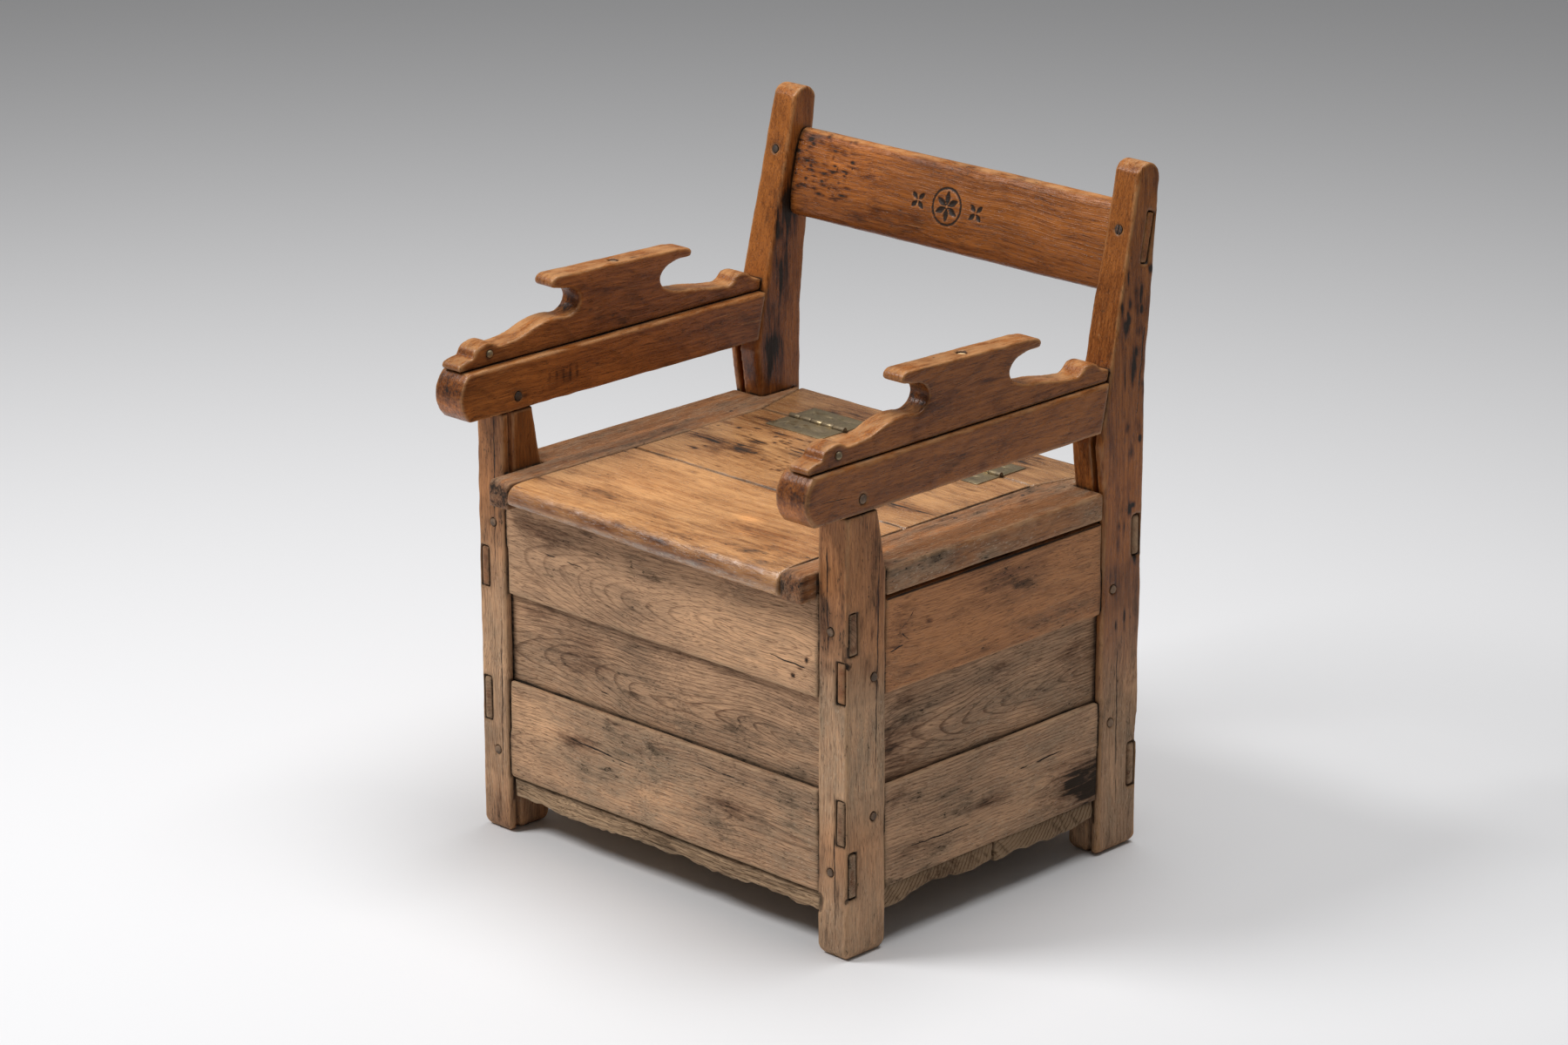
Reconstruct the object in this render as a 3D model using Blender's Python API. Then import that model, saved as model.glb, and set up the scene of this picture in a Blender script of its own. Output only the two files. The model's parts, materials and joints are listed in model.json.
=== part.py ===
"""Rustic box armchair with a hinged seat lid, as separate joined pieces.

Units are metres and +Z is up. The chair faces -Y, stands on z = 0 and has its origin at the
middle of its footprint. Depths are measured back from the front faces of the front posts.
"""
import math
from collections import namedtuple

import bmesh
import bpy
from mathutils import Matrix, Vector

# Overall sizes
CHAIR_WIDTH = 0.600
CHAIR_DEPTH = 0.500
BACK_HEIGHT = 0.830
SEAT_HEIGHT = 0.453

# Clearances: touching pieces, panels floating in their grooves, lid edges
FIT_GAP = 0.0003
PANEL_FLOAT = 0.0006
LID_GAP = 0.0008

# Posts
POST_WIDTH = 0.046
FRONT_POST_DEPTH = 0.064
FRONT_POST_NECK_DEPTH = 0.0625
FRONT_POST_TOP_DEPTH = 0.050
FRONT_POST_TENON_HEIGHT = 0.034
FRONT_POST_TENON_DEPTH = 0.028
BACK_POST_DEPTH = 0.070
BACK_POST_TOP_DEPTH = 0.040
BACK_POST_TOP_WIDTH = 0.037
BACK_LEAN = math.radians(12.5)
ELBOW_SWELL = 0.0085
ELBOW_RISE = 0.057
BACK_BEND_RISE = 0.102

# Frame and panel sides
RAIL_THICKNESS = 0.022
RAIL_INSET = 0.002
BOTTOM_RAIL_BASE = 0.072
BOTTOM_RAIL_HEIGHT = 0.123
PANEL_SIGHT_HEIGHT = 0.108
PANEL_THICKNESS = 0.0055
PANEL_INSET = 0.011
GROOVE_DEPTH = 0.008
TENON_INSET = 0.004
TENON_THICKNESS = 0.013
TENON_SHOULDER = 0.003
TENON_WEB = 0.008
PEG_RADIUS = 0.0045
PEG_LENGTH = 0.030
PEG_PROUD = 0.0004
PEG_SETBACK = 0.020

# Floor
FLOOR_THICKNESS = 0.030
FLOOR_FRONT_INSET = 0.006
FLOOR_END_INSET = 0.006
FLOOR_JOINT_DEPTH = 0.255

# Seat
LID_THICKNESS = 0.025
LID_OVERHANG = 0.028
LID_NOSE_RADIUS = 0.014
LID_NOSE_UNDERCUT = 0.005
LID_JOINT_DEPTH = 0.180
BEARER_THICKNESS = 0.033
BEARER_INNER_WIDTH = 0.034
BEARER_OVERHANG = 0.025
BEARER_NOSE_RADIUS = 0.009
BEARER_SIDE_GAP = 0.004
STRIP_DEPTH = 0.096
STRIP_BACK_INSET = 0.008
STRIP_TAIL_LAND = 0.008
BATTEN_WIDTH = 0.040
BATTEN_THICKNESS = 0.022
BATTEN_INSET = 0.0892
BATTEN_FRONT = 0.040
BATTEN_BACK_CLEARANCE = 0.026

# Hinges
HINGE_INSET = 0.0937
HINGE_LENGTH = 0.092
HINGE_KNUCKLES = 5
LEAF_WIDTH = 0.043
LEAF_THICKNESS = 0.0018
LEAF_PROUD = 0.0002
BARREL_RADIUS = 0.0035
BARREL_CLEARANCE = 0.0005
PIN_RADIUS = 0.0018
PIN_ABOVE_SEAT = 0.001
SCREW_HEAD_RADIUS = 0.0034
SCREW_RADIUS = 0.0016
SCREW_SETBACK = 0.025
SCREW_SPACING = 0.030

# Arms and their riser boards
ARM_RISE = 0.072
ARM_HEIGHT = 0.059
ARM_WIDTH = 0.048
ARM_OVERHANG = 0.064
ARM_NOSE_BULGE = 0.014
ARM_TENON_LENGTH = 0.024
ARM_TENON_WIDTH = 0.014
ARM_TENON_HEIGHT = 0.034
ARM_PEG_RADIUS = 0.005
ARM_PEG_DEPTH = 0.025
RISER_THICKNESS = 0.032
RISER_LEDGE = 0.005
RISER_SETBACK = 0.009
RISER_END_HEIGHT = 0.014
DOWEL_RADIUS = 0.006
DOWEL_DEPTH = 0.205
DOWEL_GRIP = 0.030
RIVET_RADIUS = 0.002
RIVET_HEAD_RADIUS = 0.005
RIVET_HEAD_HEIGHT = 0.003
RIVET_SETBACK = 0.046
RIVET_HEIGHT = 0.014

# Crest rail
CREST_HEIGHT = 0.108
CREST_THICKNESS = 0.026
CREST_DROP = 0.098
CREST_SETBACK = 0.0145
CREST_TENON_HEIGHT = 0.060
CREST_TENON_RISE = 0.017
CREST_TENON_SETBACK = 0.0265
CREST_TENON_THICKNESS = 0.012
CREST_PEG_RISE = 0.022

# Upper half of the crest section: share of the thickness, share of half the height, smooth or not
CREST_SECTION_SHARES = (
    (0.07, 0.62, True), (0.23, 0.92, True), (0.50, 1.00, True), (0.88, 0.94, True), (1.00, 0.82, False),
)

# Segments of round shapes, and where points merge and edges stay sharp
ROUND_STEPS = 12
ARC_STEPS = 6
BEZIER_STEPS = 4
DOME_ANGLE = math.radians(45)
SHARP_ANGLE = math.radians(40)
MERGE_DISTANCE = 1e-6

# Riser outline: distance from the end it is measured from, height above the arm, smooth or not
RISER_FRONT_OUTLINE = (
    (0.000, 0.000, False), (-0.001, 0.006, True), (0.010, 0.012, True), (0.022, 0.013, False),
    (0.025, 0.021, True), (0.036, 0.0265, True), (0.051, 0.027, True), (0.061, 0.021, False),
    (0.096, 0.0245, True), (0.125, 0.0335, True), (0.152, 0.0365, True), (0.178, 0.035, True),
    (0.191, 0.048, True), (0.184, 0.063, True), (0.158, 0.070, True), (0.147, 0.075, True),
    (0.152, 0.084, True), (0.166, 0.085, False),
)
RISER_BACK_OUTLINE = (
    (0.141, 0.080, False), (0.118, 0.071, True), (0.143, 0.066, True), (0.166, 0.057, True),
    (0.171, 0.045, True), (0.158, 0.033, True), (0.112, 0.025, True), (0.068, 0.018, True),
    (0.052, 0.018, True), (0.041, 0.027, True), (0.026, 0.027, True), (0.014, 0.018, False),
)

# Finishes of the waxed upper wood, seat, dusty lower wood, raw floor, end grain pegs and brass
Finish = namedtuple("Finish", "colour roughness metallic")
WAXED_WOOD = Finish((0.33, 0.15, 0.055), 0.45, 0.0)
SEAT_WOOD = Finish((0.36, 0.16, 0.05), 0.40, 0.0)
DUSTY_WOOD = Finish((0.27, 0.17, 0.09), 0.70, 0.0)
RAW_WOOD = Finish((0.22, 0.15, 0.09), 0.85, 0.0)
PEG_WOOD = Finish((0.16, 0.10, 0.06), 0.65, 0.0)
AGED_BRASS = Finish((0.35, 0.29, 0.14), 0.45, 1.0)

# Heights and depths that follow from the sizes above
elbow_height = SEAT_HEIGHT + ELBOW_RISE
back_bend_height = SEAT_HEIGHT + BACK_BEND_RISE
arm_underside = SEAT_HEIGHT + ARM_RISE
crest_middle = BACK_HEIGHT - CREST_DROP
half_width = CHAIR_WIDTH / 2
inner_width = half_width - POST_WIDTH
bottom_rail_top = BOTTOM_RAIL_BASE + BOTTOM_RAIL_HEIGHT
top_rail_base = bottom_rail_top + PANEL_SIGHT_HEIGHT
lid_underside = SEAT_HEIGHT - LID_THICKNESS
bearer_underside = SEAT_HEIGHT - BEARER_THICKNESS
front_top_rail_top = lid_underside - FIT_GAP
back_top_rail_top = bearer_underside - FIT_GAP
side_top_rail_top = bearer_underside - BEARER_SIDE_GAP
arm_top = arm_underside + ARM_HEIGHT
riser_base = arm_top + FIT_GAP
back_post_front = CHAIR_DEPTH - BACK_POST_DEPTH
post_top_radius = BACK_POST_TOP_DEPTH / 2
strip_back = CHAIR_DEPTH - STRIP_BACK_INSET
pin_depth = strip_back - STRIP_DEPTH
pin_height = SEAT_HEIGHT + PIN_ABOVE_SEAT
bearer_inner = inner_width - BEARER_INNER_WIDTH
lid_half_width = bearer_inner - LID_GAP
groove_width = PANEL_THICKNESS + 2 * FIT_GAP
peg_hole_radius = PEG_RADIUS + FIT_GAP


def post_front(height):
    """Depth of the back post's front face: upright, swelling to the elbow, then leaning back."""
    if height <= SEAT_HEIGHT:
        return back_post_front
    if height <= elbow_height:
        return back_post_front - ELBOW_SWELL * (height - SEAT_HEIGHT) / (elbow_height - SEAT_HEIGHT)
    return back_post_front - ELBOW_SWELL + math.tan(BACK_LEAN) * (height - elbow_height)


back_reach = post_front(BACK_HEIGHT - post_top_radius) + BACK_POST_TOP_DEPTH
front_face = (ARM_OVERHANG - back_reach) / 2

# Scene and collections
for leftover in list(bpy.data.objects):
    bpy.data.objects.remove(leftover, do_unlink=True)

pieces = bpy.data.collections.new("rustic_armchair")
tools = bpy.data.collections.new("rustic_armchair_tools")
for collection in (pieces, tools):
    bpy.context.scene.collection.children.link(collection)

# The two hands of the chair, seen from the front
HANDS = (("left", -1), ("right", 1))

# Planes for flat outlines: side view, top view and front view
SIDE_VIEW = Matrix(((0, 0, 1), (1, 0, 0), (0, 1, 0))).to_4x4()
TOP_VIEW = Matrix.Identity(4)
FRONT_VIEW = Matrix(((1, 0, 0), (0, 0, -1), (0, 1, 0))).to_4x4()

# Directions for turned pieces, whose own axis is local Z
ALONG_X = Matrix.Rotation(math.radians(90), 4, "Y")
ALONG_Y = Matrix.Rotation(math.radians(-90), 4, "X")


def place(x, depth, z):
    """A point given by its depth behind the front posts' front faces."""
    return Matrix.Translation((x, front_face + depth, z))


def link_mesh(name, mesh, matrix, collection):
    """An object with the given mesh and place."""
    piece = bpy.data.objects.new(name, mesh)
    piece.matrix_world = matrix
    collection.objects.link(piece)
    if collection is tools:
        piece.hide_render = True
        piece.display_type = "WIRE"
    return piece


def add_box(name, low, high, frame=None, collection=pieces):
    """A box between two corners of a frame."""
    frame = frame or place(0, 0, 0)
    low, high = Vector(low), Vector(high)
    shape = bmesh.new()
    bmesh.ops.create_cube(shape, size=1)
    bmesh.ops.scale(shape, vec=high - low, verts=shape.verts)
    mesh = bpy.data.meshes.new(name)
    shape.to_mesh(mesh)
    shape.free()
    return link_mesh(name, mesh, frame @ Matrix.Translation((low + high) / 2), collection)


def add_prism(name, points, thickness, frame, collection=pieces):
    """A straight-sided outline of (u, v) points, with half its thickness on each side."""
    shape = bmesh.new()
    low = [shape.verts.new((u, v, -thickness / 2)) for u, v in points]
    high = [shape.verts.new((u, v, thickness / 2)) for u, v in points]
    shape.faces.new(low)
    shape.faces.new(high)
    for index in range(len(points)):
        shape.faces.new((low[index - 1], low[index], high[index], high[index - 1]))
    bmesh.ops.recalc_face_normals(shape, faces=shape.faces)
    mesh = bpy.data.meshes.new(name)
    shape.to_mesh(mesh)
    shape.free()
    return link_mesh(name, mesh, frame, collection)


def add_outline(name, points, thickness, frame, collection=pieces):
    """A curved outline of (u, v, smooth) points, with half its thickness on each side."""
    curve = bpy.data.curves.new(name, "CURVE")
    curve.dimensions = "2D"
    curve.fill_mode = "BOTH"
    curve.extrude = thickness / 2
    curve.resolution_u = BEZIER_STEPS
    spline = curve.splines.new("BEZIER")
    spline.use_cyclic_u = True
    spline.bezier_points.add(len(points) - 1)
    for knot, (u, v, smooth) in zip(spline.bezier_points, points):
        knot.co = (u, v, 0)
        knot.handle_left_type = knot.handle_right_type = "AUTO" if smooth else "VECTOR"
    drawing = bpy.data.objects.new(name + "_outline", curve)
    bpy.context.scene.collection.objects.link(drawing)
    bpy.context.view_layer.update()
    drawn = drawing.evaluated_get(bpy.context.evaluated_depsgraph_get())
    mesh = bpy.data.meshes.new_from_object(drawn)
    bpy.data.objects.remove(drawing, do_unlink=True)
    shape = bmesh.new()
    shape.from_mesh(mesh)
    bmesh.ops.remove_doubles(shape, verts=shape.verts, dist=MERGE_DISTANCE)
    bmesh.ops.recalc_face_normals(shape, faces=shape.faces)
    shape.to_mesh(mesh)
    shape.free()
    mesh.name = name
    return link_mesh(name, mesh, frame, collection)


def add_turned(name, profile, *frames, collection=pieces):
    """A turned body on local Z of each frame, from a profile of (radius, height) points."""
    shape = bmesh.new()
    for frame in frames:
        ring = [shape.verts.new(frame @ Vector((radius, 0, height))) for radius, height in profile]
        edges = [shape.edges.new(pair) for pair in zip(ring, ring[1:])]
        axis = frame.to_3x3() @ Vector((0, 0, 1))
        bmesh.ops.spin(
            shape, geom=ring + edges, cent=frame.translation, axis=axis,
            angle=math.tau, steps=ROUND_STEPS, use_merge=True,
        )
    bmesh.ops.remove_doubles(shape, verts=shape.verts, dist=MERGE_DISTANCE)
    bmesh.ops.recalc_face_normals(shape, faces=shape.faces)
    mesh = bpy.data.meshes.new(name)
    shape.to_mesh(mesh)
    shape.free()
    mesh.shade_smooth()
    mesh.set_sharp_from_angle(angle=SHARP_ANGLE)
    return link_mesh(name, mesh, Matrix.Identity(4), collection)


def rod(radius, start, end):
    """Profile of a plain rod."""
    return ((0, end), (radius, end), (radius, start), (0, start))


def arc(centre, radius, start, end):
    """Points of an arc about a (u, v) centre, angles in degrees."""
    across, up = centre
    degrees = [start + (end - start) * step / ARC_STEPS for step in range(ARC_STEPS + 1)]
    angles = [math.radians(angle) for angle in degrees]
    return [(across + radius * math.cos(angle), up + radius * math.sin(angle)) for angle in angles]


def combine(piece, tool, operation):
    """A Boolean between a piece and one of the tools."""
    change = piece.modifiers.new(f"{operation.lower()} {tool.name}", "BOOLEAN")
    change.operation = operation
    change.solver = "EXACT"
    change.object = tool


def cut(piece, *cutters):
    """Takes cutters out of a piece."""
    for cutter in cutters:
        combine(piece, cutter, "DIFFERENCE")


def join(piece, *additions):
    """Adds tenons and the like to a piece."""
    for addition in additions:
        combine(piece, addition, "UNION")


def finish(look, *objects):
    """Gives each piece a material of its own."""
    for piece in objects:
        material = bpy.data.materials.new(piece.name)
        material.use_nodes = True
        shader = material.node_tree.nodes["Principled BSDF"]
        shader.inputs["Base Color"].default_value = (*look.colour, 1)
        shader.inputs["Roughness"].default_value = look.roughness
        shader.inputs["Metallic"].default_value = look.metallic
        piece.data.materials.append(material)


# Front posts: outline from the side, with the stub tenon for the arm
front_post_outline = (
    (0, 0), (FRONT_POST_DEPTH, 0), (FRONT_POST_DEPTH, SEAT_HEIGHT), (FRONT_POST_NECK_DEPTH, SEAT_HEIGHT),
    (FRONT_POST_TOP_DEPTH, arm_underside - FIT_GAP), (0, arm_underside - FIT_GAP),
)
post_middle = half_width - POST_WIDTH / 2
front_tenon_start = (FRONT_POST_TOP_DEPTH - FRONT_POST_TENON_DEPTH) / 2
arm_mortise_top = arm_underside + FRONT_POST_TENON_HEIGHT
front_posts = {}
for name, sign in HANDS:
    post = add_prism(
        f"front_post_{name}", front_post_outline, POST_WIDTH, place(sign * post_middle, 0, 0) @ SIDE_VIEW)
    tenon = add_box(
        f"front_post_tenon_{name}",
        (sign * post_middle - ARM_TENON_WIDTH / 2, front_tenon_start, SEAT_HEIGHT),
        (sign * post_middle + ARM_TENON_WIDTH / 2, front_tenon_start + FRONT_POST_TENON_DEPTH,
         arm_mortise_top - FIT_GAP),
        collection=tools)
    join(post, tenon)
    front_posts[name] = post

# Back posts: outline from the side with a round top, tapered on the outer face above the elbow
round_height = BACK_HEIGHT - post_top_radius
round_centre = (post_front(round_height) + post_top_radius, round_height)
back_post_outline = (
    [(CHAIR_DEPTH, 0), (CHAIR_DEPTH, back_bend_height)]
    + arc(round_centre, post_top_radius, 0, 180)
    + [(post_front(elbow_height), elbow_height), (back_post_front, SEAT_HEIGHT), (back_post_front, 0)]
)
taper_slope = (POST_WIDTH - BACK_POST_TOP_WIDTH) / (BACK_HEIGHT - elbow_height)


def post_outer(height):
    """Distance of the back post's tapered outer face from the middle of the chair."""
    return half_width - taper_slope * max(0, height - elbow_height)


taper_top = BACK_HEIGHT + POST_WIDTH
back_posts = {}
for name, sign in HANDS:
    post = add_prism(
        f"back_post_{name}", back_post_outline, POST_WIDTH, place(sign * post_middle, 0, 0) @ SIDE_VIEW)
    wedge = [
        (sign * half_width, elbow_height), (sign * (half_width + POST_WIDTH), elbow_height),
        (sign * (half_width + POST_WIDTH), taper_top), (sign * post_outer(taper_top), taper_top),
    ]
    taper = add_prism(
        f"back_post_taper_{name}", wedge, 2 * CHAIR_DEPTH, place(0, CHAIR_DEPTH, 0) @ FRONT_VIEW, tools)
    cut(post, taper)
    back_posts[name] = post

# The four frame and panel sides, each in a frame with x along it and y inwards from the post faces
Side = namedtuple(
    "Side", "name suffix frame ends shoulders end_names outer_tenons top posts groove_top")
depth_middle = front_face + CHAIR_DEPTH / 2
side_shoulders = (FRONT_POST_DEPTH - CHAIR_DEPTH / 2, back_post_front - CHAIR_DEPTH / 2)
mirrored_shoulders = (-side_shoulders[1], -side_shoulders[0])
width_ends = (-half_width, half_width)
depth_ends = (-CHAIR_DEPTH / 2, CHAIR_DEPTH / 2)
width_shoulders = (-inner_width, inner_width)
sides = (
    Side("front", "", place(0, 0, 0),
         width_ends, width_shoulders, ("left", "right"), True, front_top_rail_top,
         (front_posts["left"], front_posts["right"]), arm_underside),
    Side("back", "", place(0, CHAIR_DEPTH, 0) @ Matrix.Rotation(math.pi, 4, "Z"),
         width_ends, width_shoulders, ("right", "left"), True, back_top_rail_top,
         (back_posts["left"], back_posts["right"]), SEAT_HEIGHT),
    Side("side", "_right",
         Matrix.Translation((half_width, depth_middle, 0)) @ Matrix.Rotation(math.pi / 2, 4, "Z"),
         depth_ends, side_shoulders, ("front", "back"), False, side_top_rail_top,
         (front_posts["right"], back_posts["right"]), arm_underside),
    Side("side", "_left",
         Matrix.Translation((-half_width, depth_middle, 0)) @ Matrix.Rotation(-math.pi / 2, 4, "Z"),
         depth_ends, mirrored_shoulders, ("back", "front"), False, side_top_rail_top,
         (front_posts["left"], back_posts["left"]), arm_underside),
)
top_tenon = (side_top_rail_top - top_rail_base - 2 * TENON_SHOULDER - TENON_WEB) / 2
bottom_tenon = (BOTTOM_RAIL_HEIGHT - 2 * TENON_SHOULDER - TENON_WEB) / 2
tenon_back = TENON_INSET + TENON_THICKNESS
panel_back = PANEL_INSET + PANEL_THICKNESS
rail_back = RAIL_INSET + RAIL_THICKNESS


def peg_frames(side, height):
    """Ends and frames of the two pegs through one rail's tenons, pointing inwards."""
    for end, shoulder, outward in zip(side.end_names, side.shoulders, (-1, 1)):
        middle = Matrix.Translation((shoulder + outward * PEG_SETBACK, 0, height))
        yield end, side.frame @ middle @ ALONG_Y


rails = {}
panels = []
drawbore_pegs = []
peg_places = []
for side in sides:
    left, right = side.shoulders
    if side.outer_tenons:
        bottom_tenon_base = BOTTOM_RAIL_BASE + TENON_SHOULDER
        top_tenon_base = side_top_rail_top - TENON_SHOULDER - top_tenon
    else:
        bottom_tenon_base = bottom_rail_top - TENON_SHOULDER - bottom_tenon
        top_tenon_base = top_rail_base + TENON_SHOULDER
    groove_front = PANEL_INSET - FIT_GAP
    groove = (groove_front, groove_front + groove_width)
    label = side.name + side.suffix
    post_groove = add_box(
        f"post_groove_{label}", (left - GROOVE_DEPTH, groove[0], -GROOVE_DEPTH),
        (right + GROOVE_DEPTH, groove[1], side.groove_top), side.frame, tools)
    rail_groove = add_box(
        f"rail_groove_{label}", (left - GROOVE_DEPTH, groove[0], bottom_rail_top - GROOVE_DEPTH),
        (right + GROOVE_DEPTH, groove[1], top_rail_base + GROOVE_DEPTH), side.frame, tools)
    edge = GROOVE_DEPTH - PANEL_FLOAT
    panels.append(add_box(
        f"{side.name}_panel{side.suffix}", (left - edge, PANEL_INSET, bottom_rail_top - edge),
        (right + edge, panel_back, top_rail_base + edge), side.frame))
    for level, base, top, tenon_base, tenon_height in (
        ("bottom", BOTTOM_RAIL_BASE, bottom_rail_top, bottom_tenon_base, bottom_tenon),
        ("top", top_rail_base, side.top, top_tenon_base, top_tenon),
    ):
        rail = add_box(
            f"{side.name}_{level}_rail{side.suffix}", (left + FIT_GAP, RAIL_INSET, base),
            (right - FIT_GAP, rail_back, top), side.frame)
        tenon = add_box(
            f"{level}_tenon_{label}", (side.ends[0], TENON_INSET, tenon_base),
            (side.ends[1], tenon_back, tenon_base + tenon_height), side.frame, tools)
        mortise = add_box(
            f"{level}_mortise_{label}",
            (side.ends[0] - POST_WIDTH, TENON_INSET - FIT_GAP, tenon_base - FIT_GAP),
            (side.ends[1] + POST_WIDTH, tenon_back + FIT_GAP, tenon_base + tenon_height + FIT_GAP),
            side.frame, tools)
        join(rail, tenon)
        cut(rail, rail_groove)
        rails[label, level] = rail
        for post in side.posts:
            cut(post, mortise)
        for end, frame in peg_frames(side, tenon_base + tenon_height / 2):
            peg_name = f"drawbore_peg_{label}_{level}_{end}"
            drawbore_pegs.append(add_turned(peg_name, rod(PEG_RADIUS, -PEG_PROUD, PEG_LENGTH), frame))
            peg_places.append(frame)
    for post in side.posts:
        cut(post, post_groove)

peg_holes = add_turned(
    "drawbore_holes", rod(peg_hole_radius, -PEG_RADIUS, PEG_LENGTH + FIT_GAP), *peg_places,
    collection=tools)
for piece in (*front_posts.values(), *back_posts.values(), *rails.values()):
    cut(piece, peg_holes)

# Floor boards: under the bottom rails, notched round the posts
floor_top = BOTTOM_RAIL_BASE - FIT_GAP
floor_middle = floor_top - FLOOR_THICKNESS / 2
board_end = half_width - FLOOR_END_INSET
notch_end = inner_width - FIT_GAP
floor_front = FLOOR_FRONT_INSET
floor_back = CHAIR_DEPTH - FLOOR_FRONT_INSET
front_notch = FRONT_POST_DEPTH + FIT_GAP
back_notch = back_post_front - FIT_GAP


def mirrored(right_half):
    """A closed outline from its right half, listed front to back."""
    return list(right_half) + [(-x, y) for x, y in reversed(right_half)]


floor_outlines = {
    "front": ((notch_end, floor_front), (notch_end, front_notch), (board_end, front_notch),
              (board_end, FLOOR_JOINT_DEPTH - FIT_GAP / 2)),
    "back": ((board_end, FLOOR_JOINT_DEPTH + FIT_GAP / 2), (board_end, back_notch), (notch_end, back_notch),
             (notch_end, floor_back)),
}
floor_boards = [
    add_prism(f"floor_board_{name}", mirrored(half), FLOOR_THICKNESS, place(0, 0, floor_middle) @ TOP_VIEW)
    for name, half in floor_outlines.items()
]

# Seat back strip: full depth between the bearers, with tails lapped on them
strip_front = pin_depth + LID_GAP
tail_front = bearer_inner
tail_back = inner_width - STRIP_TAIL_LAND
strip_tails = mirrored(((tail_front, strip_front), (tail_back, strip_back)))
tail_height = lid_underside + FIT_GAP
tail_middle = (tail_height + SEAT_HEIGHT) / 2
seat_back_strip = add_prism(
    "seat_back_strip", strip_tails, SEAT_HEIGHT - tail_height, place(0, 0, tail_middle) @ TOP_VIEW)
strip_core = add_box(
    "strip_core", (-bearer_inner + FIT_GAP, strip_front, bearer_underside),
    (bearer_inner - FIT_GAP, strip_back, SEAT_HEIGHT - LEAF_THICKNESS), collection=tools)
join(seat_back_strip, strip_core)
tail_slope = (tail_back - tail_front) / (strip_back - strip_front)
tail_clear = FIT_GAP * 2
lap_cut = add_prism(
    "bearer_lap",
    mirrored(((tail_front + tail_clear, strip_front - LID_GAP),
              (tail_back + tail_clear + tail_slope * POST_WIDTH, strip_back + POST_WIDTH))),
    LID_THICKNESS, place(0, 0, lid_underside + LID_THICKNESS / 2) @ TOP_VIEW, tools)

# Seat bearers: notched round the posts, nosed in front, housed over the front rail
bearer_middle = bearer_underside + BEARER_THICKNESS / 2
bearer_side = half_width - FIT_GAP
bearer_post = inner_width - FIT_GAP
housing = add_box(
    "bearer_housing", (-half_width, RAIL_INSET - FIT_GAP, 0),
    (half_width, rail_back + FIT_GAP, lid_underside), collection=tools)
nose_front = -BEARER_OVERHANG - BEARER_NOSE_RADIUS
nose_back = BEARER_NOSE_RADIUS - BEARER_OVERHANG
nose_low = SEAT_HEIGHT - BEARER_NOSE_RADIUS
nose_high = SEAT_HEIGHT + BEARER_NOSE_RADIUS
nose_waste = (
    [(nose_front, nose_high), (nose_front, nose_low)]
    + arc((nose_back, nose_low), BEARER_NOSE_RADIUS, 180, 90)
    + [(nose_back, nose_high)]
)
bearers = {}
for name, sign in HANDS:
    outline = [
        (sign * bearer_inner, -BEARER_OVERHANG), (sign * bearer_post, -BEARER_OVERHANG),
        (sign * bearer_post, front_notch), (sign * bearer_side, front_notch),
        (sign * bearer_side, back_notch), (sign * bearer_post, back_notch),
        (sign * bearer_post, strip_back), (sign * bearer_inner, strip_back),
    ]
    bearer = add_prism(
        f"seat_bearer_{name}", outline, BEARER_THICKNESS, place(0, 0, bearer_middle) @ TOP_VIEW)
    nose_cut = add_prism(
        f"bearer_nose_{name}", nose_waste, 2 * POST_WIDTH,
        place(sign * bearer_post, 0, 0) @ SIDE_VIEW, tools)
    cut(bearer, housing, lap_cut, nose_cut)
    bearers[name] = bearer

# Lid: front board with its nosing, rear board and two battens below
lid_front_outline = (
    [(LID_JOINT_DEPTH - LID_GAP / 2, lid_underside), (LID_JOINT_DEPTH - LID_GAP / 2, SEAT_HEIGHT)]
    + arc((LID_NOSE_RADIUS - LID_OVERHANG, SEAT_HEIGHT - LID_NOSE_RADIUS), LID_NOSE_RADIUS, 90, 180)
    + arc((LID_NOSE_UNDERCUT - LID_OVERHANG, lid_underside + LID_NOSE_UNDERCUT), LID_NOSE_UNDERCUT, 180, 270)
)
lid_front_board = add_prism(
    "lid_front_board", lid_front_outline, 2 * lid_half_width, place(0, 0, 0) @ SIDE_VIEW)
lid_rear_board = add_box(
    "lid_rear_board", (-lid_half_width, LID_JOINT_DEPTH + LID_GAP / 2, lid_underside),
    (lid_half_width, pin_depth - LID_GAP, SEAT_HEIGHT))
batten_top = lid_underside - FIT_GAP
batten_base = batten_top - BATTEN_THICKNESS
batten_back = pin_depth - BATTEN_BACK_CLEARANCE
battens = []
for name, sign in HANDS:
    middle = sign * (lid_half_width - BATTEN_INSET)
    battens.append(add_box(
        f"lid_batten_{name}", (middle - BATTEN_WIDTH / 2, BATTEN_FRONT, batten_base),
        (middle + BATTEN_WIDTH / 2, batten_back, batten_top)))

# Hinges: leaves let in flush, knuckles round a pin
leaf_top = LEAF_PROUD - PIN_ABOVE_SEAT
leaf_base = leaf_top - LEAF_THICKNESS
half_length = HINGE_LENGTH / 2
knuckle_length = HINGE_LENGTH / HINGE_KNUCKLES
knuckle_room = BARREL_RADIUS + BARREL_CLEARANCE
bore_radius = PIN_RADIUS + FIT_GAP
tab_end = (bore_radius + BARREL_RADIUS) / 2
tab_inset = 2 * FIT_GAP
knuckle_stop = knuckle_length - FIT_GAP
knuckle_profile = (
    (bore_radius, FIT_GAP), (BARREL_RADIUS, FIT_GAP), (BARREL_RADIUS, knuckle_stop),
    (bore_radius, knuckle_stop), (bore_radius, FIT_GAP),
)


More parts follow.
